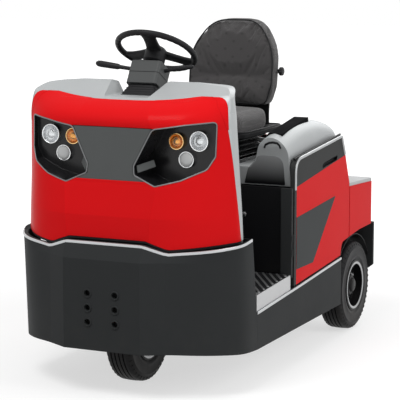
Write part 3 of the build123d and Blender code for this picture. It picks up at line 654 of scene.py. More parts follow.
def grown(name, spots, item, finish):
    # spots are (place, facing, along); returns a plain mesh with the item set on each
    guide = bpy.data.meshes.new(name)
    guide.from_pydata([s[0] for s in spots], [], [])
    for k, label in ((1, "facing"), (2, "along")):
        layer = guide.attributes.new(label, "FLOAT_VECTOR", "POINT")
        layer.data.foreach_set("vector", [c for s in spots for c in s[k]])
    holder = bpy.data.objects.new(name, guide)
    sample = bpy.data.objects.new(name + "Item", item)
    for thing in (holder, sample):
        bpy.context.collection.objects.link(thing)
    modifier = holder.modifiers.new("repeat", "NODES")
    modifier.node_group = setOnPoints
    values = {"Item": sample, "Finish": finishes[finish]}
    for socket in setOnPoints.interface.items_tree:
        if socket.in_out == "INPUT" and socket.name in values:
            modifier[socket.identifier] = values[socket.name]
    bpy.context.view_layer.update()
    deps = bpy.context.evaluated_depsgraph_get()
    mesh = bpy.data.meshes.new_from_object(holder.evaluated_get(deps))
    holder.modifiers.clear()
    bpy.data.objects.remove(holder)
    bpy.data.objects.remove(sample)
    mesh.set_sharp_from_angle(angle=math.radians(32))
    return mesh


def boltHead(radius, height):
    # hexagon head on a washer, with a domed face
    work = bmesh.new()
    lathe(work, [(0, radius * 1.5), (height * 0.22, radius * 1.5), (height * 0.25, radius * 1.05)],
          Vector(), upward, 18)
    lathe(work, [(height * 0.2, radius), (height * 0.85, radius), (height, radius * 0.82),
                 (height * 1.04, 0)], Vector(), upward, 6)
    return toMesh(work, "boltHead")


def bar(length, width, height, tip=0.3):
    # raised rib with sloped ends
    work = bmesh.new()
    foot = [(-length / 2, -width / 2), (length / 2, -width / 2), (length / 2, width / 2),
            (-length / 2, width / 2)]
    low = [work.verts.new((a, b, 0)) for a, b in foot]
    high = [work.verts.new((a * (1 - tip * width / length), b * (1 - tip), height)) for a, b in foot]
    bridge(work, low, high, True)
    work.faces.new(high)
    work.faces.new(list(reversed(low)))
    return toMesh(work, "bar")


def dome(radius, height, steps=10):
    work = bmesh.new()
    lathe(work, [(0, radius), (height * 0.6, radius * 0.86), (height * 0.92, radius * 0.5), (height, 0)],
          Vector(), upward, steps)
    return toMesh(work, "dome", 60)


# Nose: rims and fins of the lamp pods, corners of the cowl and lamps

noseSet = {
    "rimInset": 2.5, "rimWidth": 5, "rimHeight": 2,
    "podCorners": [(404, 1080, 14), (300, 1070, 30), (172, 1050, 30), (98, 905, 18), (102, 870, 14),
                   (192, 830, 16), (290, 854, 40),
                   (378, 896, 30), (402, 945, 30)],
    "finFoot": [(110, 96, 908), (116, 94, 880), (164, 152, 900), (154, 154, 926)], "finThick": 9,
    "finEdge": 2, "podMiddle": (270, 950), "rimLimit": 214, "rimStep": 9,
}


def podOutline(inset):
    x, z = noseSet["podMiddle"]
    centre = Vector((x, 0, z))
    corners = [Vector((x, 0, z)) for x, z, _ in noseSet["podCorners"]]
    spots = roundedPath([(c, r) for c, (_, _, r) in zip(corners, noseSet["podCorners"])], closed=True)
    return [p + (centre - p).normalized() * inset for p in resample(spots, noseSet["rimStep"], closed=True)]


def makePodRims():
    skin = skinOf("lamp_pods")
    work = bmesh.new()
    for s in (1, -1):
        path = []
        for p in podOutline(noseSet["rimInset"]):
            spot = skin.ray_cast(place(s * p.x, -100, p.z), -forward)[0]
            if spot is not None and spot.y <= place(0, noseSet["rimLimit"], 0).y:
                path.append(spot)
        sweep(work, path, forward, halfRound(*mm(noseSet["rimWidth"], noseSet["rimHeight"])), closed=True)
    addPiece("podRims", work, "silver_moulding", "podEdge")
    fins = bmesh.new()
    for s in (1, -1):
        foot = [place(s * x, back, z) for x, back, z in noseSet["finFoot"]]
        slab(fins, inOrder(foot, s), *mm(noseSet["finThick"], noseSet["finEdge"]))
    addPiece("podFins", fins, "grey_moulding", "visorGrey")


cornerSet = {
    "rows": [(1047, 431, 436), (1066, 426, 435.5), (1086, 420, 435), (1100, 415, 434), (1116, 408, 432.5),
             (1134, 395, 430), (1144, 391, 426.5),
             (1152, 387, 422), (1160, 378, 415), (1166, 366, 404), (1169, 358, 390)],
    "columns": 8, "proud": 0.8, "thick": 1.6,
}


def makeCowlCorners():
    # thin red skin that squares up the cowl's upper corners on the dash shell
    skins = [skinOf("front_cowl"), skinOf("dash_shell")]
    work = bmesh.new()
    for s in (1, -1):
        grid = []
        for z, inner, outer in cornerSet["rows"]:
            row = []
            for j in range(cornerSet["columns"] + 1):
                x = inner + (outer - inner) * j / cornerSet["columns"]
                hits = [skin.ray_cast(place(s * x, -100, z), -forward) for skin in skins]
                spot, normal, _, _ = min((hit for hit in hits if hit[0] is not None),
                                         key=lambda hit: hit[3])
                row.append(work.verts.new(spot + normal * mm(cornerSet["proud"])))
            grid.append(row)
        for a, b in zip(grid, grid[1:]):
            bridge(work, a, b, False)
    bmesh.ops.recalc_face_normals(work, faces=work.faces)
    bmesh.ops.solidify(work, geom=work.faces[:], thickness=mm(cornerSet["thick"]))
    addPiece("cowlCorners", work, "red_moulding", "cowlRed", sharp=50)


lampSet = {
    "head": {"node": "headlamps", "x": 327, "z": 1001, "radius": 40, "face": 195},
    "turn": {"node": "indicator_lamps", "x": 228, "z": 996, "radius": 33, "face": 199},
    "side": {"node": "position_lamps", "x": 271, "z": 927, "radius": 33, "face": 199},
    "seat": 217, "ring": 6.5, "hood": 0.42, "lensRise": 7, "flute": 0.5,
}


def lampBody(work, x, z, radius, face):
    # bezel, reflector bowl and bulb hood of one lamp, facing forwards
    foot = place(x, lampSet["seat"], z)
    depth = mm(lampSet["seat"] - face)
    r = mm(radius)
    ring = mm(lampSet["ring"])
    lathe(work, [(0, r), (depth * 0.8, r), (depth + 0.001, r - 0.0012), (depth + 0.0014, r - ring * 0.6),
                 (depth - 0.001, r - ring),
                 (depth * 0.55, r * 0.72), (depth * 0.3, r * 0.5), (depth * 0.16, r * 0.2),
                 (depth * 0.15, 0)], foot, forward, 48)
    hood = r * lampSet["hood"]
    lathe(work, [(depth * 0.15, hood), (depth * 0.7, hood * 0.95), (depth * 0.82, hood * 0.7),
                 (depth * 0.86, 0)], foot, forward, 24)


def lampLens(work, x, z, radius, face, flutes):
    # thin domed glass with shallow flutes
    foot = place(x, face, z)
    r = mm(radius - lampSet["ring"])
    rise = mm(lampSet["lensRise"])
    rings = [[work.verts.new(foot + forward * rise)]]
    steps = 48
    for k in range(1, 9):
        t = k / 8
        radial = r * math.sin(t * math.pi / 2)
        high = rise * math.cos(t * math.pi / 2)
        ring = []
        for i in range(steps):
            turn = 2 * math.pi * i / steps
            wave = math.cos(flutes * radial * math.cos(turn) / r * math.pi) * (1 - t) if flutes else 0
            lift = high + mm(lampSet["flute"]) * wave
            spot = foot + Vector((radial * math.cos(turn), -lift, radial * math.sin(turn)))
            ring.append(work.verts.new(spot))
        rings.append(ring)
    for a, b in zip(rings, rings[1:]):
        bridge(work, a, b, True)


def makeLamps():
    looks = (("head", "headlampBodies", "headlampLenses", "lampChrome", "lampClear", "lamp_lens", 5),
             ("turn", "indicatorBodies", "indicatorLenses", "lampBrass", "lampAmber", "amber_lens", 0),
             ("side", "positionBodies", "positionLenses", "lampChrome", "lampWhite", "lamp_lens", 0))
    for kind, bodyName, lensName, bodyFinish, lensFinish, slotName, flutes in looks:
        lamp = lampSet[kind]
        bodies = bmesh.new()
        lenses = bmesh.new()
        for s in (1, -1):
            lampBody(bodies, s * lamp["x"], lamp["z"], lamp["radius"], lamp["face"])
            lampLens(lenses, s * lamp["x"], lamp["z"], lamp["radius"], lamp["face"], flutes)
        addPiece(bodyName, bodies, slotName, bodyFinish, lamp["node"], sharp=40)
        addPiece(lensName, lenses, slotName, lensFinish, sharp=60)


makePodRims()
makeCowlCorners()
makeLamps()
print("nose: pod rims, fins, corners and lamps")


# Bumper and sills: a silver strip along their top edge that paints the highlight of the bevelled edge, and
# the washers of the coupling holes

lipSet = {
    "tall": 11, "proud": 3, "drop": 5, "step": 12,
    "brow": [(0, 611), (160, 611), (176, 607.5), (243, 584.5), (262, 581), (330, 586.5), (400, 592.3),
             (440, 595.6)],
    "turn": [(180, 597.2), (225, 599.5), (270, 603.5), (310, 608), (336, 611.5)],
    "sill": [(392, 309.3), (620, 323.2), (847, 337), (1100, 354.1), (1342, 370.5)],
    "side": 490, "holes": (60, (297, 354, 411)), "washer": (19, 3.5),
}


def highlightStripPath(skin):
    # follows the bumper's outer skin just below its edge, from the middle round to the side
    path = []
    front = resample([Vector((x, 0, z)) for x, z in lipSet["brow"]], lipSet["step"])
    flank = resample([Vector((0, back, z)) for back, z in lipSet["turn"]], lipSet["step"])
    rays = [(place(p.x, -200, p.z - lipSet["drop"]), -forward) for p in front]
    rays += [(place(700, p.y, p.z - lipSet["drop"]), -leftSide) for p in flank]
    for start, aim in rays:
        spot, normal, _, _ = skin.ray_cast(start, aim)
        path.append((spot, Vector((normal.x, normal.y, 0)).normalized()))
    return path


def makeHighlightStrip():
    skin = skinOf("front_bumper")
    half = highlightStripPath(skin)
    flipped = [(Vector((-p.x, p.y, p.z)), Vector((-n.x, n.y, n.z))) for p, n in reversed(half[1:])]
    whole = flipped + half
    tall, proud = mm(lipSet["tall"], lipSet["proud"])
    profile = roundBox(proud, tall / 2, proud * 0.6, 2)
    work = bmesh.new()
    sweep(work, [p for p, n in whole], [n for p, n in whole], profile)
    for s in (1, -1):
        run = [place(s * lipSet["side"], back, z - lipSet["drop"]) for back, z in lipSet["sill"]]
        sweep(work, inOrder(run, s), leftSide * s, profile)
    # painted highlight: the silver strip stands in for the highlight along the bevelled top edges
    addPiece("edgeLip", work, "silver_moulding", "trimSilver")


def makeWashers():
    x, rows = lipSet["holes"]
    radius, high = mm(*lipSet["washer"])
    work = bmesh.new()
    lathe(work, [(0, radius), (high * 0.5, radius), (high, radius * 0.92), (high, radius * 0.68),
                 (-high, radius * 0.66), (-high, radius)],
          Vector(), upward, 28, closed=True)
    item = toMesh(work, "washer")
    spots = [(place(s * x, 0, z), forward, leftSide) for z in rows for s in (1, -1)]
    addPiece("couplingWashers", grown("couplingWashers", spots, item, "bumperGrey"), "dark_grey_paint")


makeHighlightStrip()
makeWashers()
print("bumper: lip and washers")


# Steering: hand wheel, column boot and levers

handSet = {
    "rim": 159, "grip": 12.5, "spokeTurns": (280, 40, 160), "fingers": 36, "fingerDepth": 1.0,
    "spokeWidths": [(26, 66), (48, 60), (80, 54), (115, 54), (138, 62), (152, 80)], "spokeThick": 15,
    "spokeSink": 8, "spokeCorner": 6, "cap": [(12, 26), (15, 25), (16.5, 18), (17, 0)],
    "hub": [(-56, 13), (-56, 38), (-50, 44), (-4, 44), (6, 41), (11, 35), (13, 24), (13.5, 0)],
}
handAxis = Vector(joints["hand_wheel_turn"]["axis"])
handCentre = Vector(joints["hand_wheel_turn"]["pos_m"])


def makeHandWheel():
    across = leftSide.copy()
    toDriver = handAxis.cross(across)
    work = bmesh.new()
    rim, grip = mm(handSet["rim"], handSet["grip"])
    rings = []
    steps = 144
    for i in range(steps):
        turn = 2 * math.pi * i / steps
        ray = across * math.cos(turn) + toDriver * math.sin(turn)
        ring = []
        for k in range(16):
            t = 2 * math.pi * k / 16
            under = max(0.0, -math.sin(t)) ** 2  # finger grips on the underside only
            r = grip - mm(handSet["fingerDepth"]) * under * (0.5 + 0.5 * math.cos(handSet["fingers"] * turn))
            spot = handCentre + ray * (rim + r * math.cos(t)) + handAxis * r * math.sin(t)
            ring.append(work.verts.new(spot))
        rings.append(ring)
    for a, b in zip(rings, rings[1:] + rings[:1]):
        bridge(work, a, b, True)
    for turn in handSet["spokeTurns"]:
        ray = across * math.cos(math.radians(turn)) + toDriver * math.sin(math.radians(turn))
        side = handAxis.cross(ray)
        loops = []
        for reach, width in handSet["spokeWidths"]:
            sink = -mm(handSet["spokeSink"]) * (1 - reach / handSet["rim"])
            spot = handCentre + ray * mm(reach) + handAxis * sink
            outline = roundBox(mm(width / 2), mm(handSet["spokeThick"] / 2), mm(handSet["spokeCorner"]), 3)
            loops.append([work.verts.new(spot + side * a + handAxis * b) for a, b in outline])
        for a, b in zip(loops, loops[1:]):
            bridge(work, a, b, True)
        work.faces.new(loops[0])
        work.faces.new(list(reversed(loops[-1])))
    lathe(work, [mm(*p) for p in handSet["hub"]], handCentre, handAxis, 40)
    lathe(work, [mm(*p) for p in handSet["cap"]], handCentre, handAxis, 32)
    addPiece("handWheel", work, "black_moulding", "softBlack", "steering_wheel", body="hand_wheel",
             sharp=38)


columnSet = {"bootLow": -232, "bootHigh": -174, "ribs": 5, "half": (57, 41), "foot": (24, 12), "shift": -8,
             "rib": 2.5,
             "seam": -124, "seamHalf": (68.4, 52.4), "seamShift": -12}


def columnRing(along, halves, shift, grow, corner):
    # points of a rounded rectangle round the column
    toDriver = handAxis.cross(leftSide)
    centre = handCentre + handAxis * mm(along) + toDriver * mm(shift)
    outline = roundBox(*mm(halves[0] + grow, halves[1] + grow, corner), 5)
    return [centre + leftSide * a + toDriver * b for a, b in outline]


def makeColumnTrim():
    work = bmesh.new()
    rows = []
    steps = columnSet["ribs"] * 4
    for k in range(steps + 1):
        along = columnSet["bootLow"] + (columnSet["bootHigh"] - columnSet["bootLow"]) * k / steps
        grow = 1.0 + columnSet["rib"] * (0.5 - 0.5 * math.cos(2 * math.pi * k / 4))
        halves = [half + foot * (1 - k / steps) for half, foot in zip(columnSet["half"], columnSet["foot"])]
        rows.append([work.verts.new(p) for p in columnRing(along, halves, columnSet["shift"], grow, 14)])
    for a, b in zip(rows, rows[1:]):
        bridge(work, a, b, True)
    work.faces.new(rows[0])
    work.faces.new(rows[-1])
    addPiece("columnBoot", work, "black_moulding", "softBlack", sharp=60)
    seam = bmesh.new()
    sweep(seam, columnRing(columnSet["seam"], columnSet["seamHalf"], columnSet["seamShift"], 0, 14),
          handAxis,
          roundBox(0.0011, 0.0006, 0.0004, 2), closed=True)
    addPiece("columnSeam", seam, "black_moulding", "trimBlack")


leverSet = [
    {"root": (-62, 428, 1250), "tip": (-243, 428, 1271),
     "profile": [(0, 9), (40, 8), (72, 8.5), (84, 12), (120, 13), (160, 13.5), (174, 12), (182, 7),
                 (184, 0)]},
    {"root": (62, 428, 1247), "tip": (197, 428, 1270),
     "profile": [(0, 8), (36, 6.5), (60, 6.5), (70, 8.5), (110, 9), (126, 8.5), (134, 5), (137, 0)]},
]


def makeLevers():
    work = bmesh.new()
    for lever in leverSet:
        root = place(*lever["root"])
        lathe(work, [mm(*p) for p in lever["profile"]], root, place(*lever["tip"]) - root, 24)
    addPiece("leverGrips", work, "black_moulding", "trimBlack", "column_levers", sharp=40)


makeHandWheel()
makeColumnTrim()
makeLevers()
print("steering: wheel, boot and levers")


# Seat: cushion and backrest swell by simulation, then piping, bellows and knob

padSet = {
    "seat_cushion": {"name": "seatCushion", "voxel": 0.006, "rounds": 40, "shrink": 0.0, "slim": 0.87,
                     "tuck": 0.3, "cap": 0.02, "pressure": 4.0, "fill": 0.75},
    "seat_back": {"name": "seatBackrest", "voxel": 0.006, "rounds": 10, "shrink": 0.004, "slim": 1.0,
                  "tuck": 0.0, "cap": 0.022, "pressure": 4.0, "fill": 0.7},
}


tuckFrom, tuckOver = 0.7, 0.3


def padCopy(node, options):
    work = bmesh.new()
    work.from_mesh(nodes[node].data)
    bmesh.ops.remove_doubles(work, verts=work.verts, dist=0.00005)
    bmesh.ops.recalc_face_normals(work, faces=work.faces)
    mesh = bpy.data.meshes.new(options["name"])
    work.to_mesh(mesh)
    work.free()
    pad = bpy.data.objects.new(options["name"], mesh)
    bpy.context.collection.objects.link(pad)
    remesh = pad.modifiers.new("remesh", "REMESH")
    remesh.mode = "VOXEL"
    remesh.voxel_size = options["voxel"]
    applyAll(pad)
    work = bmesh.new()
    work.from_mesh(pad.data)
    for _ in range(options["rounds"]):
        bmesh.ops.smooth_vert(work, verts=work.verts, factor=0.5, use_axis_x=True, use_axis_y=True,
                              use_axis_z=True)
    work.normal_update()
    low, high = cornersOf(node)
    for v in work.verts:
        v.co -= v.normal * options["shrink"]
        rear = max(0.0, (v.co.y - low.y) / (high.y - low.y) - tuckFrom) / tuckOver
        v.co.x *= options["slim"] - options["tuck"] * rear ** 2
    work.to_mesh(pad.data)
    work.free()
    return pad


def applyAll(thing):
    bpy.context.view_layer.update()
    deps = bpy.context.evaluated_depsgraph_get()
    mesh = bpy.data.meshes.new_from_object(thing.evaluated_get(deps))
    old = thing.data
    thing.modifiers.clear()
    thing.data = mesh
    mesh.name = thing.name
    bpy.data.meshes.remove(old)


seamSet = {
    "cushionFoot": 16, "cushionSeams": (0.2, 0.8), "seamHalf": 0.008, "cushionTop": 20,
    "backRear": 1308.5, "backLean": 7.87, "backHollow": 0.77, "backEdge": 12,
    "backSeam": 130, "backSeamHalf": 6, "backFront": 50,
}


def seamPins(pad, node):
    # the sewn seams hold still while the pad swells between them
    low, high = cornersOf(node)
    foot, top = low.z + mm(seamSet["cushionFoot"]), high.z - mm(seamSet["cushionTop"])
    lean = math.tan(math.radians(seamSet["backLean"]))
    group = pad.vertex_groups.new(name="seams")
    for v in pad.data.vertices:
        if node == "seat_cushion":
            x = (v.co.x - low.x) / (high.x - low.x)
            nearest = min(abs(x - seam) for seam in seamSet["cushionSeams"])
            held = v.co.z < foot or nearest < seamSet["seamHalf"] and v.co.z > top
        else:
            up = v.co.z - low.z
            rear = place(0, seamSet["backRear"], 0).y + up * lean - seamSet["backHollow"] * v.co.x ** 2
            onSeam = abs(v.co.z - (low.z + mm(seamSet["backSeam"]))) < mm(seamSet["backSeamHalf"])
            edge, front = mm(seamSet["backEdge"], seamSet["backFront"])
            held = v.co.y > rear - edge or onSeam and v.co.y < rear - front
        if held:
            group.add([v.index], 1.0, "REPLACE")
    return group


clothSet = {"quality": 5, "tension_stiffness": 12, "compression_stiffness": 12, "bending_stiffness": 2.0}
clothSteps = 20


def swell(pad, node, options):
    start = [v.co.copy() for v in pad.data.vertices]
    cloth = pad.modifiers.new("swell", "CLOTH")
    cloth.settings.vertex_group_mass = seamPins(pad, node).name
    cloth.settings.use_pressure = True
    cloth.settings.uniform_pressure_force = options["pressure"]
    cloth.settings.effector_weights.gravity = 0
    for key, value in clothSet.items():
        setattr(cloth.settings, key, value)
    cloth.collision_settings.use_collision = False
    scene = bpy.context.scene
    for step in range(1, clothSteps + 1):
        scene.frame_set(step)
    applyAll(pad)
    scene.frame_set(1)
    for v, spot in zip(pad.data.vertices, start):
        move = v.co - spot
        if move.length > options["cap"]:
            v.co = spot + move.normalized() * options["cap"]


def makePads():
    for node, options in padSet.items():
        pad = padCopy(node, options)
        swell(pad, node, options)
        finer = pad.modifiers.new("finer", "SUBSURF")
        finer.levels = finer.render_levels = 1
        applyAll(pad)
        pad.data.polygons.foreach_set("use_smooth", [True] * len(pad.data.polygons))
        pad.data.materials.clear()
        pad.data.materials.append(finishes["seatCloth"])
        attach(pad, "chassis")
        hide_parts(node)
        print("padded", node, len(pad.data.vertices), "points")


pipingSet = {"radius": 3.2, "rise": 12, "cushionInset": 1, "backInset": 9, "sink": 4}


def cushionLoop(z, inset):
    low, high = cornersOf("seat_cushion")
    front, rear = mm(60, 30)
    inset = mm(inset)
    corners = [(Vector((high.x - inset, low.y + inset, z)), front),
               (Vector((high.x - inset, high.y - inset, z)), rear),
               (Vector((low.x + inset, high.y - inset, z)), rear),
               (Vector((low.x + inset, low.y + inset, z)), front)]
    return resample(roundedPath(corners, closed=True), 0.012, closed=True)


def shieldLoop(inset):
    # front edge of the backrest, in the front view
    low, high = cornersOf("seat_back")
    half = high.x - mm(inset)
    foot = low.z + mm(inset)
    head = high.z - mm(inset)
    side = [(half - mm(26), foot, 40), (half, foot + mm(90), 60), (half, head - mm(130), 220),
            (half - mm(90), head, 130)]
    corners = side + [(-x, z, r) for x, z, r in reversed(side)]
    return resample(roundedPath([(Vector((x, 0, z)), mm(r)) for x, z, r in corners], closed=True), 0.012,
                    closed=True)


def makePiping():
    radius = mm(pipingSet["radius"])
    work = bmesh.new()
    tube = roundBox(radius, radius, radius * 0.99, 3)
    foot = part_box("seat_cushion")[0][2]
    sweep(work, cushionLoop(foot + mm(pipingSet["rise"]), pipingSet["cushionInset"]), upward, tube,
          closed=True)
    skin = skinOf("seat_back")
    path = []
    for p in shieldLoop(pipingSet["backInset"]):
        spot = skin.ray_cast(Vector((p.x, place(0, 900, 0).y, p.z)), -forward)[0]
        if spot is not None:
            path.append(spot - forward * mm(pipingSet["sink"]))
    sweep(work, path, forward, tube, closed=True)
    addPiece("seatPiping", work, "seat_fabric", "softBlack", sharp=70)


bellowsSet = {"folds": 4, "outer": (198, 182), "inner": (168, 152), "corner": 44, "middle": 1025,
              "base": (200, 184, 30),
              "flange": (0, 12, 15), "slack": 15.5}


def makeBellows():
    low, high = cornersOf("seat_suspension")
    work = bmesh.new()
    base = roundBox(*mm(*bellowsSet["base"]), 5)
    centre = place(0, bellowsSet["middle"], 0)
    flange = [low.z + mm(z) for z in bellowsSet["flange"]]
    rings = [[work.verts.new(Vector((centre.x + a, centre.y + b, z))) for a, b in base] for z in flange]
    steps = bellowsSet["folds"] * 6
    rise = high.z - low.z - mm(bellowsSet["slack"])
    for k in range(steps + 1):
        z = flange[-1] + rise * k / steps
        swing = 0.5 - 0.5 * math.cos(2 * math.pi * k / 6)
        halves = [mm(i + (o - i) * swing) for i, o in zip(bellowsSet["inner"], bellowsSet["outer"])]
        outline = roundBox(*halves, mm(bellowsSet["corner"]), 5)
        rings.append([work.verts.new(Vector((centre.x + a, centre.y + b, z))) for a, b in outline])
    for a, b in zip(rings, rings[1:]):
        bridge(work, a, b, True)
    work.faces.new(rings[0])
    work.faces.new(rings[-1])
    addPiece("seatBellows", work, "black_moulding", "bellowsBlack", "seat_suspension", sharp=50)


knobSet = {"radius": 19, "flutes": 14, "depth": 1.6}


def makeKnob():
    low, high = cornersOf("seat_knob")
    centre = Vector((low.x, (low.y + high.y) / 2, (low.z + high.z) / 2))
    length = high.x - low.x
    r = mm(knobSet["radius"])
    work = bmesh.new()
    rings = []
    steps = knobSet["flutes"] * 6
    for along, part in ((0, 0.5), (length * 0.3, 0.55), (length * 0.34, 0.95), (length * 0.42, 1),
                        (length * 0.85, 1), (length * 0.96, 0.9), (length, 0.7)):
        ring = []
        for i in range(steps):
            t = 2 * math.pi * i / steps
            dent = mm(knobSet["depth"]) * (0.5 - 0.5 * math.cos(knobSet["flutes"] * t)) if part >= 0.9 else 0
            ray = Vector((0, math.cos(t), math.sin(t)))
            ring.append(work.verts.new(centre + leftSide * along + ray * (r * part - dent)))
        rings.append(ring)
    rings.append([work.verts.new(centre + leftSide * length)])
    for a, b in zip(rings, rings[1:]):
        bridge(work, a, b, True)
    work.faces.new(rings[0])
    addPiece("backrestKnob", work, "black_moulding", "trimBlack", "seat_knob", sharp=40)


makePads()
makePiping()
makeBellows()
makeKnob()
print("seat: pads, piping, bellows and knob")


# Doors: a silver bead round the dark band that paints the highlight of its rounded edge, plain grey wedge
# and the liner of the grip slot

doorSet = {
    "bead": [(789, 745, 0), (789, 868, 96), (1334, 914, 12), (1376, 832, 0)], "beadWidth": 13,
    "beadHeight": 5,
    "seal": [(796, 872, 60), (1334, 922, 0)], "sealSpot": 481, "sealHalf": (5, 4),
    "wedge": [(804, 628, 1), (804, 409, 1), (995, 407, 3), (1261, 659, 3)], "wedgeThick": 0.5,
    "grip": [(1094, 801.5, 6), (1113, 817, 8), (1282, 833.5, 6), (1271, 817.5, 8)], "gripDepth": 13.6,
    "face": 490,
}


def makeDoorTrim():
    for side, s in (("left", 1), ("right", -1)):
        body = "door_" + side
        face = s * doorSet["face"]
        # painted highlight: a silver bead along the top and front edge of the dark band, in place of its
        # edge highlight
        bead = bmesh.new()
        path = roundedPath([(place(face, back, z), mm(r)) for back, z, r in doorSet["bead"]], samples=12)
        sweep(bead, resample(path, 0.02), leftSide * s,
              halfRound(*mm(doorSet["beadWidth"], doorSet["beadHeight"]), 9))
        addPiece("bandBead_" + side, bead, "silver_moulding", "beadSilver", body=body, sharp=50)
        wedge = bmesh.new()
        outline = roundedPath([(place(face, back, z), mm(r)) for back, z, r in doorSet["wedge"]],
                              closed=True, samples=4)
        slab(wedge, inOrder(outline, s), mm(doorSet["wedgeThick"]) * -1, 0)
        bmesh.ops.translate(wedge, verts=wedge.verts, vec=leftSide * s * mm(doorSet["wedgeThick"]))
        seal = bmesh.new()
        sealSide = s * doorSet["sealSpot"]
        rim = roundedPath([(place(sealSide, back, z), mm(r)) for back, z, r in doorSet["seal"]])
        sweep(seal, rim, upward, roundBox(*mm(*doorSet["sealHalf"], 2), 2))
        addPiece("doorSeal_" + side, seal, "black_moulding", "trimBlack", body=body)
        addPiece("doorWedge_" + side, wedge, "grey_moulding", "wedgeGrey", body=body)
        liner = bmesh.new()
        mouth = roundedPath([(place(face, back, z), mm(r)) for back, z, r in doorSet["grip"]], closed=True,
                            samples=4)
        deep = [p - leftSide * s * mm(doorSet["gripDepth"]) for p in mouth]
        outer = [liner.verts.new(p + leftSide * s * 0.0006) for p in mouth]
        inner = [liner.verts.new(p) for p in deep]
        bridge(liner, outer, inner, True)
        liner.faces.new(inner)
        addPiece("gripLiner_" + side, liner, "black_moulding", "trimBlack", body=body)


makeDoorTrim()
print("doors: bead, wedge and grip liner")


# Wheels: treaded tyres, rim rings, hub caps and nuts

tyreSet = {
    "radius": 203, "half": 55, "rim": 108, "grooves": (-26, -9, 9, 26), "grooveHalf": 2.6,
    "grooveDepth": 6.5,
    "lugs": 46, "lugSize": (17, 11, 2.6), "nutCircle": 63, "nuts": 5, "nut": (7.5, 9), "disc": 18.2,
    "cap": [(32, 45), (35, 45), (37, 42), (37.5, 33), (46, 29), (49, 24), (50, 0)],
    "ring": [(53.2, 98), (53.2, 108), (55.5, 108.5), (56.5, 107), (56.5, 104), (55, 101), (54.6, 98)],
}


def tyreProfile():
    t = tyreSet
    half, rim, top = t["half"], t["rim"], t["radius"]
    wall = [(half - 5, rim - 2), (half - 5, rim + 10), (half - 2.2, rim + 14), (half - 1.4, rim + 22),
            (half - 0.6, rim + 24), (half - 0.6, rim + 27),
            (half - 1.2, rim + 29), (half, rim + 46), (half - 0.2, rim + 60), (half + 0.6, rim + 63),
            (half + 0.6, rim + 66), (half - 1, rim + 68),
            (half - 4, top - 16), (half - 9, top - 7), (half - 15, top - 3.4), (half - 19, top - 2)]
    tread = [(36, top - 2)]
    for g in reversed(t["grooves"]):
        crown = top - abs(g) * 2 / 36
        tread += [(g + t["grooveHalf"], crown), (g + t["grooveHalf"] * 0.7, crown - t["grooveDepth"]),
                  (g - t["grooveHalf"] * 0.7, crown - t["grooveDepth"]), (g - t["grooveHalf"], crown)]
    return wall + tread + [(-x, r) for x, r in reversed(wall)]


def lugItem():
    length, width, high = mm(*tyreSet["lugSize"])
    return bar(length, width, high, 0.25)


def wheelSpots(centre, count, radius, along, axis):
    spots = []
    for i in range(count):
        t = 2 * math.pi * (i + 0.5) / count
        ray = Vector((0, math.cos(t), math.sin(t)))
        spots.append((centre + axis * along + ray * radius, ray))
    return spots


def makeWheel(label, centre, body, tyreNode, outSides):
    work = bmesh.new()
    lathe(work, [mm(*p) for p in tyreProfile()], centre, leftSide, 108, closed=True)
    addPiece("tyre_" + label, work, "tyre", "tyreRubber", tyreNode, body=body, sharp=30)
    lugs = []
    for s in (1, -1):
        for spot, ray in wheelSpots(centre, tyreSet["lugs"], mm(tyreSet["radius"] - 12.5),
                                    s * mm(tyreSet["half"] - 7.5), leftSide):
            lugs.append((spot, (ray * 0.55 + leftSide * s * 0.8).normalized(),
                         (ray * 0.8 - leftSide * s * 0.55).normalized()))
    mesh = grown("lugs_" + label, lugs, lugItem(), "tyreRubber")
    addPiece("shoulderLugs_" + label, mesh, "tyre", body=body)
    ring = bmesh.new()
    for s in outSides:
        lathe(ring, [mm(*p) for p in tyreSet["ring"]], centre, leftSide * s, 72, closed=True)
    addPiece("rimRing_" + label, ring, "rim_paint", "rimSilver", body=body, sharp=50)


def makeHubs(label, centre, body, s):
    work = bmesh.new()
    lathe(work, [mm(*p) for p in tyreSet["cap"]], centre, leftSide * s, 40)
    addPiece("hubCap_" + label, work, "rim_paint", "rimBlack", body=body)
    circle, disc = mm(tyreSet["nutCircle"], tyreSet["disc"])
    holes = wheelSpots(centre, tyreSet["nuts"], circle, disc, leftSide * s)
    nuts = [(spot, leftSide * s, ray) for spot, ray in holes]
    mesh = grown("nuts_" + label, nuts, boltHead(*mm(*tyreSet["nut"])), "pinSteel")
    addPiece("wheelNuts_" + label, mesh, "bare_steel", body=body)


for label, s in (("left", 1), ("right", -1)):
    hubSpot = Vector(joints[f"rear_wheel_{label}_spin"]["pos_m"])
    makeWheel(label, hubSpot, "rear_wheel_" + label, "rear_tyre_" + label, (s,))
    makeHubs(label, hubSpot, "rear_wheel_" + label, s)
frontSpot = Vector(joints["front_wheel_spin"]["pos_m"])
makeWheel("front", frontSpot, "front_wheel", "front_tyre", (1, -1))
print("wheels: tyres, rings, caps and nuts")


# Footwell: ribs on the steps, rubber mat and pedal treads

stepSet = {"front": 400, "end": 748, "inner": 316, "outer": 482, "pitch": 26, "rib": (10, 2.2),
           "run": (0.565, -0.825),
           "rise": (375.2, 394), "pad": 1.0, "margin": 5}


def stepHeight(back):
    share = (back - stepSet["front"]) / (stepSet["end"] - stepSet["front"])
    return stepSet["rise"][0] + share * (stepSet["rise"][1] - stepSet["rise"][0])


def ribEnds(offset):
    # where a slanted line leaves the step's rectangle
    ux, uy = stepSet["run"]
    margin = stepSet["margin"]
    low = (stepSet["inner"] + margin, stepSet["front"] + margin)
    high = (stepSet["outer"] - margin, stepSet["end"] - margin)
    start = (stepSet["inner"] - uy * offset, stepSet["front"] + ux * offset)
    spans = [sorted(((low[i] - start[i]) / u, (high[i] - start[i]) / u)) for i, u in enumerate((ux, uy))]
    first, last = max(s[0] for s in spans), min(s[1] for s in spans)
    return [(start[0] + ux * t, start[1] + uy * t) for t in (first, last)] if last - first > 12 else None


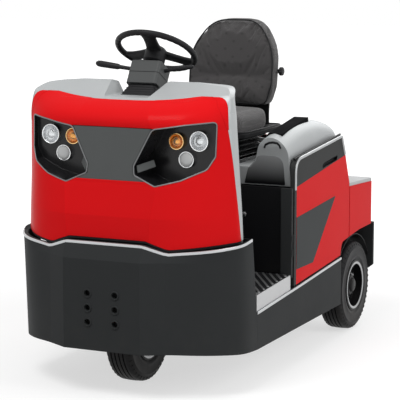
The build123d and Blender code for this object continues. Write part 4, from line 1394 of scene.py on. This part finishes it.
def makeStepRibs():
    pads = bmesh.new()
    ribs = bmesh.new()
    wide, tall = mm(*stepSet["rib"])
    for s in (1, -1):
        corners = [(stepSet["inner"], stepSet["front"]), (stepSet["outer"], stepSet["front"]),
                   (stepSet["outer"], stepSet["end"]),
                   (stepSet["inner"], stepSet["end"])]
        outline = [place(s * x, back, stepHeight(back)) for x, back in corners]
        slab(pads, inOrder(outline, s), mm(stepSet["pad"]), 0)
        for k in range(-20, 40):
            ends = ribEnds(k * stepSet["pitch"])
            if ends:
                path = [place(s * x, back, stepHeight(back) + stepSet["pad"]) for x, back in ends]
                sweep(ribs, path, upward, [(-0.0005, -wide / 2), (tall, -wide * 0.35), (tall, wide * 0.35),
                                           (-0.0005, wide / 2)])
    addPiece("stepPads", pads, "black_moulding", "softBlack")
    addPiece("stepRibs", ribs, "aluminium", "stepMetal")


matSet = {"half": 300, "front": 566, "end": 758, "z": 388, "thick": 4, "pitch": 15, "stud": (4.2, 2.2),
          "corner": 20, "bevel": 1.5, "sideRoom": 14, "endRoom": 24, "studStart": (20, 14)}


def makeMat():
    work = bmesh.new()
    half, front, end, pitch = (matSet[key] for key in ("half", "front", "end", "pitch"))
    corners = [(half, front), (half, end), (-half, end), (-half, front)]
    bend = mm(matSet["corner"])
    outline = roundedPath([(place(x, back, matSet["z"]), bend) for x, back in corners], closed=True,
                          samples=5)
    slab(work, outline, *mm(matSet["thick"], matSet["bevel"]))
    addPiece("floorMat", work, "black_moulding", "softBlack")
    spots = []
    across = int(2 * (half - matSet["sideRoom"]) / pitch)
    along = int((end - front - matSet["endRoom"]) / pitch)
    side, start = matSet["studStart"]
    for i in range(across):
        for j in range(along):
            x = -half + side + (i + 0.5 * (j % 2)) * pitch
            spots.append((place(x, front + start + j * pitch, matSet["z"] + matSet["thick"]), upward,
                          leftSide))
    mesh = grown("matStuds", spots, dome(*mm(*matSet["stud"]), 8), "softBlack")
    addPiece("matStuds", mesh, "black_moulding")


pedalSet = {"pads": [(-395, 62), (-300, 74)], "spot": (450, 520), "tilt": -38, "tall": 120, "proud": 6,
            "ribs": 7,
            "edge": 3, "corner": 8, "pad": (3, 1), "span": 0.85, "ribSeat": 2.8, "rib": (50, 6, 2.5)}


def makePedalTreads():
    turn = Matrix.Rotation(math.radians(pedalSet["tilt"]), 4, "X")
    facing = turn @ -forward
    along = turn @ upward
    spots = []
    work = bmesh.new()
    for x, width in pedalSet["pads"]:
        centre = place(x, *pedalSet["spot"]) + facing * mm(pedalSet["proud"])
        half = mm(width / 2 - pedalSet["edge"])
        tall = mm(pedalSet["tall"] / 2 - pedalSet["edge"])
        corners = [(half, tall), (-half, tall), (-half, -tall), (half, -tall)]
        bend = mm(pedalSet["corner"])
        spread = [(centre + leftSide * a + along * b, bend) for a, b in corners]
        slab(work, roundedPath(spread, closed=True, samples=4), *mm(*pedalSet["pad"]))
        for k in range(pedalSet["ribs"]):
            drop = tall * (2 * pedalSet["span"] * (k + 0.5) / pedalSet["ribs"] - pedalSet["span"])
            spots.append((centre + along * drop + facing * mm(pedalSet["ribSeat"]), facing, leftSide))
    addPiece("pedalPads", work, "black_moulding", "softBlack")
    mesh = grown("pedalRibs", spots, bar(*mm(*pedalSet["rib"]), 0.4), "softBlack")
    addPiece("pedalRibs", mesh, "black_moulding")


makeStepRibs()
makeMat()
makePedalTreads()
print("footwell: step ribs, mat and pedal treads")


# Consoles and rear: console trim, tray floors, screws and liners

consoleSet = {"arc": [(356, 917), (362, 930), (378, 938.5), (396, 941), (414, 938.5), (424, 930),
                      (429, 917)], "width": 9, "depth": 3,
              # outline of the grey panel with painted shade on each console front
              "shadePanel": [(252, 760, 4), (436, 760, 4), (436, 884, 46), (326, 884, 46), (274, 824, 40)],
              "apron": [(-212, 760, 4), (212, 760, 4), (188, 822, 20), (-188, 822, 20)], "skin": 1.0,
              "rings": 10}


def panel(work, skin, corners):
    # thin panel laid on the front of the hood, in rings towards its middle
    arch = roundedPath([(Vector(mm(x, 0, z)), mm(r)) for x, z, r in corners], closed=True)
    arch = resample(arch, 0.012, closed=True)
    middle = sum(arch, Vector()) / len(arch)
    proud = forward * mm(consoleSet["skin"])
    steps = consoleSet["rings"]
    columns = []
    for p in arch:
        column = []
        for k in range(steps):
            q = p.lerp(middle, k / steps)
            column.append(skin.ray_cast(Vector((q.x, place(0, 600, 0).y, q.z)), -forward)[0])
        if None not in column:
            columns.append([column[0]] + [spot + proud for spot in column])
    rows = [[work.verts.new(column[k]) for column in columns] for k in range(steps + 1)]
    for a, b in zip(rows, rows[1:]):
        bridge(work, a, b, True)
    work.faces.new(rows[-1])


def makeConsoleTrim():
    skin = skinOf("seat_hood")
    slot = bmesh.new()
    shadePanel = bmesh.new()
    apron = bmesh.new()
    for s in (1, -1):
        path = []
        for x, z in consoleSet["arc"]:
            path.append(skin.ray_cast(place(s * x, 600, z), -forward)[0])
        sweep(slot, resample(inOrder(path, s), 0.004), forward,
              halfRound(*mm(consoleSet["width"], consoleSet["depth"]), 7))
        panel(shadePanel, skin, [(s * x, z, r) for x, z, r in consoleSet["shadePanel"]])
    panel(apron, skin, consoleSet["apron"])
    # painted shade: the grey panels on the console fronts darken towards the bottom, standing in for the
    # shade on their undercut lower part
    addPiece("consoleRecess", shadePanel, "black_moulding", "recessGrey")
    addPiece("consoleFaces", apron, "black_moulding", "trimBlack")
    addPiece("consoleSlots", slot, "black_moulding", "trimBlack", sharp=60)


traySet = {"x": (356, 418), "back": (814, 1103), "cells": (8, 24), "proud": 0.8}


def makeTrayFloors():
    # black floor where the hood's crown stands above the tray
    skins = [skinOf("seat_hood"), skinOf("console_trays")]
    across, along = traySet["cells"]
    work = bmesh.new()
    for s in (1, -1):
        rows = []
        for i in range(across + 1):
            x = traySet["x"][0] + (traySet["x"][1] - traySet["x"][0]) * i / across
            row = []
            for j in range(along + 1):
                back = traySet["back"][0] + (traySet["back"][1] - traySet["back"][0]) * j / along
                start = place(s * x, back, 1300)
                hits = [skin.ray_cast(start, -upward)[0] for skin in skins]
                top = max(hit.z for hit in hits if hit is not None)
                row.append(work.verts.new(Vector((start.x, start.y, top + mm(traySet["proud"])))))
            rows.append(row)
        for a, b in zip(rows, rows[1:]):
            bridge(work, a, b, False)
    addPiece("trayFloors", work, "black_moulding", "trayBlack")


screwSet = {"box": [(267, 633), (267, 460), (140, 690)],
            "panel": [(400, 700), (400, 1050), (200, 1110), (300, 560)], "head": (7, 5), "boxFront": 768,
            "bumper": [(180, 420), (180, 290), (400, 420), (400, 290)], "bumperBack": 1814,
            "jaw": [(64, 272), (64, 438)], "jawBack": 1830}


def makeScrews():
    panelSkin = skinOf("nose_back_panel")
    spots = []
    for s in (1, -1):
        for x, z in screwSet["box"]:
            spots.append((place(s * x, screwSet["boxFront"], z), forward, leftSide))
        for x, z in screwSet["panel"]:
            spot, normal, _, _ = panelSkin.ray_cast(place(s * x, 600, z), forward)
            spots.append((spot, normal, leftSide))
        for label in ("bumper", "jaw"):
            for x, z in screwSet[label]:
                spots.append((place(s * x, screwSet[label + "Back"], z), -forward, leftSide))
    mesh = grown("screws", spots, boltHead(*mm(*screwSet["head"])), "pinSteel")
    addPiece("screws", mesh, "bare_steel")


linerSet = {"radius": 234, "from": 27, "to": 153, "inner": 352, "outer": 468, "thick": 3,
            "bulkhead": [(-440, 838), (440, 838), (440, 904), (-440, 904)], "sheet": 2,
            "shelf": [(-310, 1312), (310, 1312), (310, 1380), (-310, 1380)], "shelfHigh": 819}


def makeLiners():
    work = bmesh.new()
    skin = skinOf("rear_bulkhead")
    sheet = mm(linerSet["sheet"])
    slab(work, [skin.ray_cast(place(x, 1200, z), -forward)[0] for x, z in linerSet["bulkhead"]], sheet, 0)
    # the shelf closes the slot behind the hood
    slab(work, [place(x, back, linerSet["shelfHigh"]) for x, back in linerSet["shelf"]], sheet, 0)
    for label, s in (("left", 1), ("right", -1)):
        hub = Vector(joints[f"rear_wheel_{label}_spin"]["pos_m"])
        rows = []
        for k in range(33):
            t = math.radians(linerSet["from"] + (linerSet["to"] - linerSet["from"]) * k / 32)
            ray = Vector((0, math.cos(t), math.sin(t)))
            ring = []
            inner, outer, thick = (linerSet[key] for key in ("inner", "outer", "thick"))
            for x, r in ((inner, 0), (outer, 0), (outer, thick), (inner, thick)):
                middle = Vector((s * mm(x), hub.y, hub.z))
                ring.append(work.verts.new(middle + ray * mm(linerSet["radius"] + r)))
            rows.append(ring)
        for a, b in zip(rows, rows[1:]):
            bridge(work, a, b, True)
        work.faces.new(rows[0])
        work.faces.new(rows[-1])
    addPiece("wheelLiners", work, "black_moulding", "trimBlack")


makeConsoleTrim()
makeTrayFloors()
makeScrews()
makeLiners()
print("consoles and rear: trim, trays, screws and liners")


# Studio: pale floor, soft light and the photograph's camera

studio = {
    "azimuth": 25.05, "elevation": 8.54, "lens": 149.6, "eye": (3.011, -6.483, 1.725),
    "floorSize": 60.0, "floorColour": (0.42, 0.42, 0.42), "floorNear": 0.62, "skyStrength": 0.45,
    "keySize": 2.4, "keyPower": 165.0, "keySpot": (-0.4, -3.6, 5.4),
    "fillSize": 3.0, "fillPower": 125.0, "fillSpot": (5.2, -0.6, 3.4),
    "backSize": 2.5, "backPower": 70.0, "backSpot": (0.6, 4.5, 3.6),
}


def makeFloor():
    half = studio["floorSize"] / 2
    mesh = bpy.data.meshes.new("studioFloor")
    mesh.from_pydata([(-half, -half, 0), (half, -half, 0), (half, half, 0), (-half, half, 0)], [],
                     [(0, 1, 2, 3)])
    floor = bpy.data.objects.new("studioFloor", mesh)
    bpy.context.collection.objects.link(floor)
    material, tree, shader = newMaterial("studioFloor")
    shader.inputs["Base Color"].default_value = (*studio["floorColour"], 1)
    shader.inputs["Roughness"].default_value = 0.9
    shader.inputs["Specular IOR Level"].default_value = 0.0
    shader.inputs["Emission Color"].default_value = (1, 1, 1, 1)
    coords = addNode(tree, "ShaderNodeTexCoord")
    reach = addNode(tree, "ShaderNodeVectorMath", operation="LENGTH")
    tree.links.new(coords.outputs["Object"], reach.inputs[0])
    glow = ramp(tree, reach.outputs["Value"], 1.2, 5.0)
    glow = mathNode(tree, "MULTIPLY_ADD", glow, 1 - studio["floorNear"], studio["floorNear"])
    path = addNode(tree, "ShaderNodeLightPath")
    seen = mathNode(tree, "MAXIMUM", path.outputs["Is Camera Ray"], path.outputs["Is Glossy Ray"])
    seen = mathNode(tree, "MAXIMUM", seen, path.outputs["Is Transmission Ray"])
    tree.links.new(mathNode(tree, "MULTIPLY", glow, seen), shader.inputs["Emission Strength"])
    mesh.materials.append(material)


def makeLight(name, size, power, spot, aim=(0, 0, 0.6)):
    data = bpy.data.lights.new(name, "AREA")
    data.size = size
    data.energy = power
    lamp = bpy.data.objects.new(name, data)
    lamp.location = spot
    lamp.rotation_euler = (Vector(aim) - Vector(spot)).to_track_quat("-Z", "Y").to_euler()
    bpy.context.collection.objects.link(lamp)


def makeSky():
    world = bpy.data.worlds.new("studioSky")
    bpy.context.scene.world = world
    world.use_nodes = True
    tree = world.node_tree
    back = tree.nodes["Background"]
    back.inputs["Color"].default_value = (1, 1, 1, 1)
    path = addNode(tree, "ShaderNodeLightPath")
    seen = mathNode(tree, "MAXIMUM", path.outputs["Is Camera Ray"], path.outputs["Is Glossy Ray"])
    seen = mathNode(tree, "MAXIMUM", seen, path.outputs["Is Transmission Ray"])
    level = mathNode(tree, "MULTIPLY_ADD", seen, 1 - studio["skyStrength"], studio["skyStrength"])
    tree.links.new(level, back.inputs["Strength"])


def makeCamera():
    turn = math.radians(studio["azimuth"])
    rise = math.radians(studio["elevation"])
    backward = Vector((math.sin(turn) * math.cos(rise), -math.cos(turn) * math.cos(rise), math.sin(rise)))
    data = bpy.data.cameras.new("photoCamera")
    data.lens = studio["lens"]
    camera = bpy.data.objects.new("photoCamera", data)
    camera.location = studio["eye"]
    camera.rotation_euler = (-backward).to_track_quat("-Z", "Y").to_euler()
    bpy.context.collection.objects.link(camera)
    bpy.context.scene.camera = camera


makeFloor()
makeSky()
makeLight("keyLight", studio["keySize"], studio["keyPower"], studio["keySpot"])
makeLight("fillLight", studio["fillSize"], studio["fillPower"], studio["fillSpot"])
makeLight("backLight", studio["backSize"], studio["backPower"], studio["backSpot"])
makeCamera()
bpy.context.scene.view_settings.view_transform = "Standard"
print("studio ready")
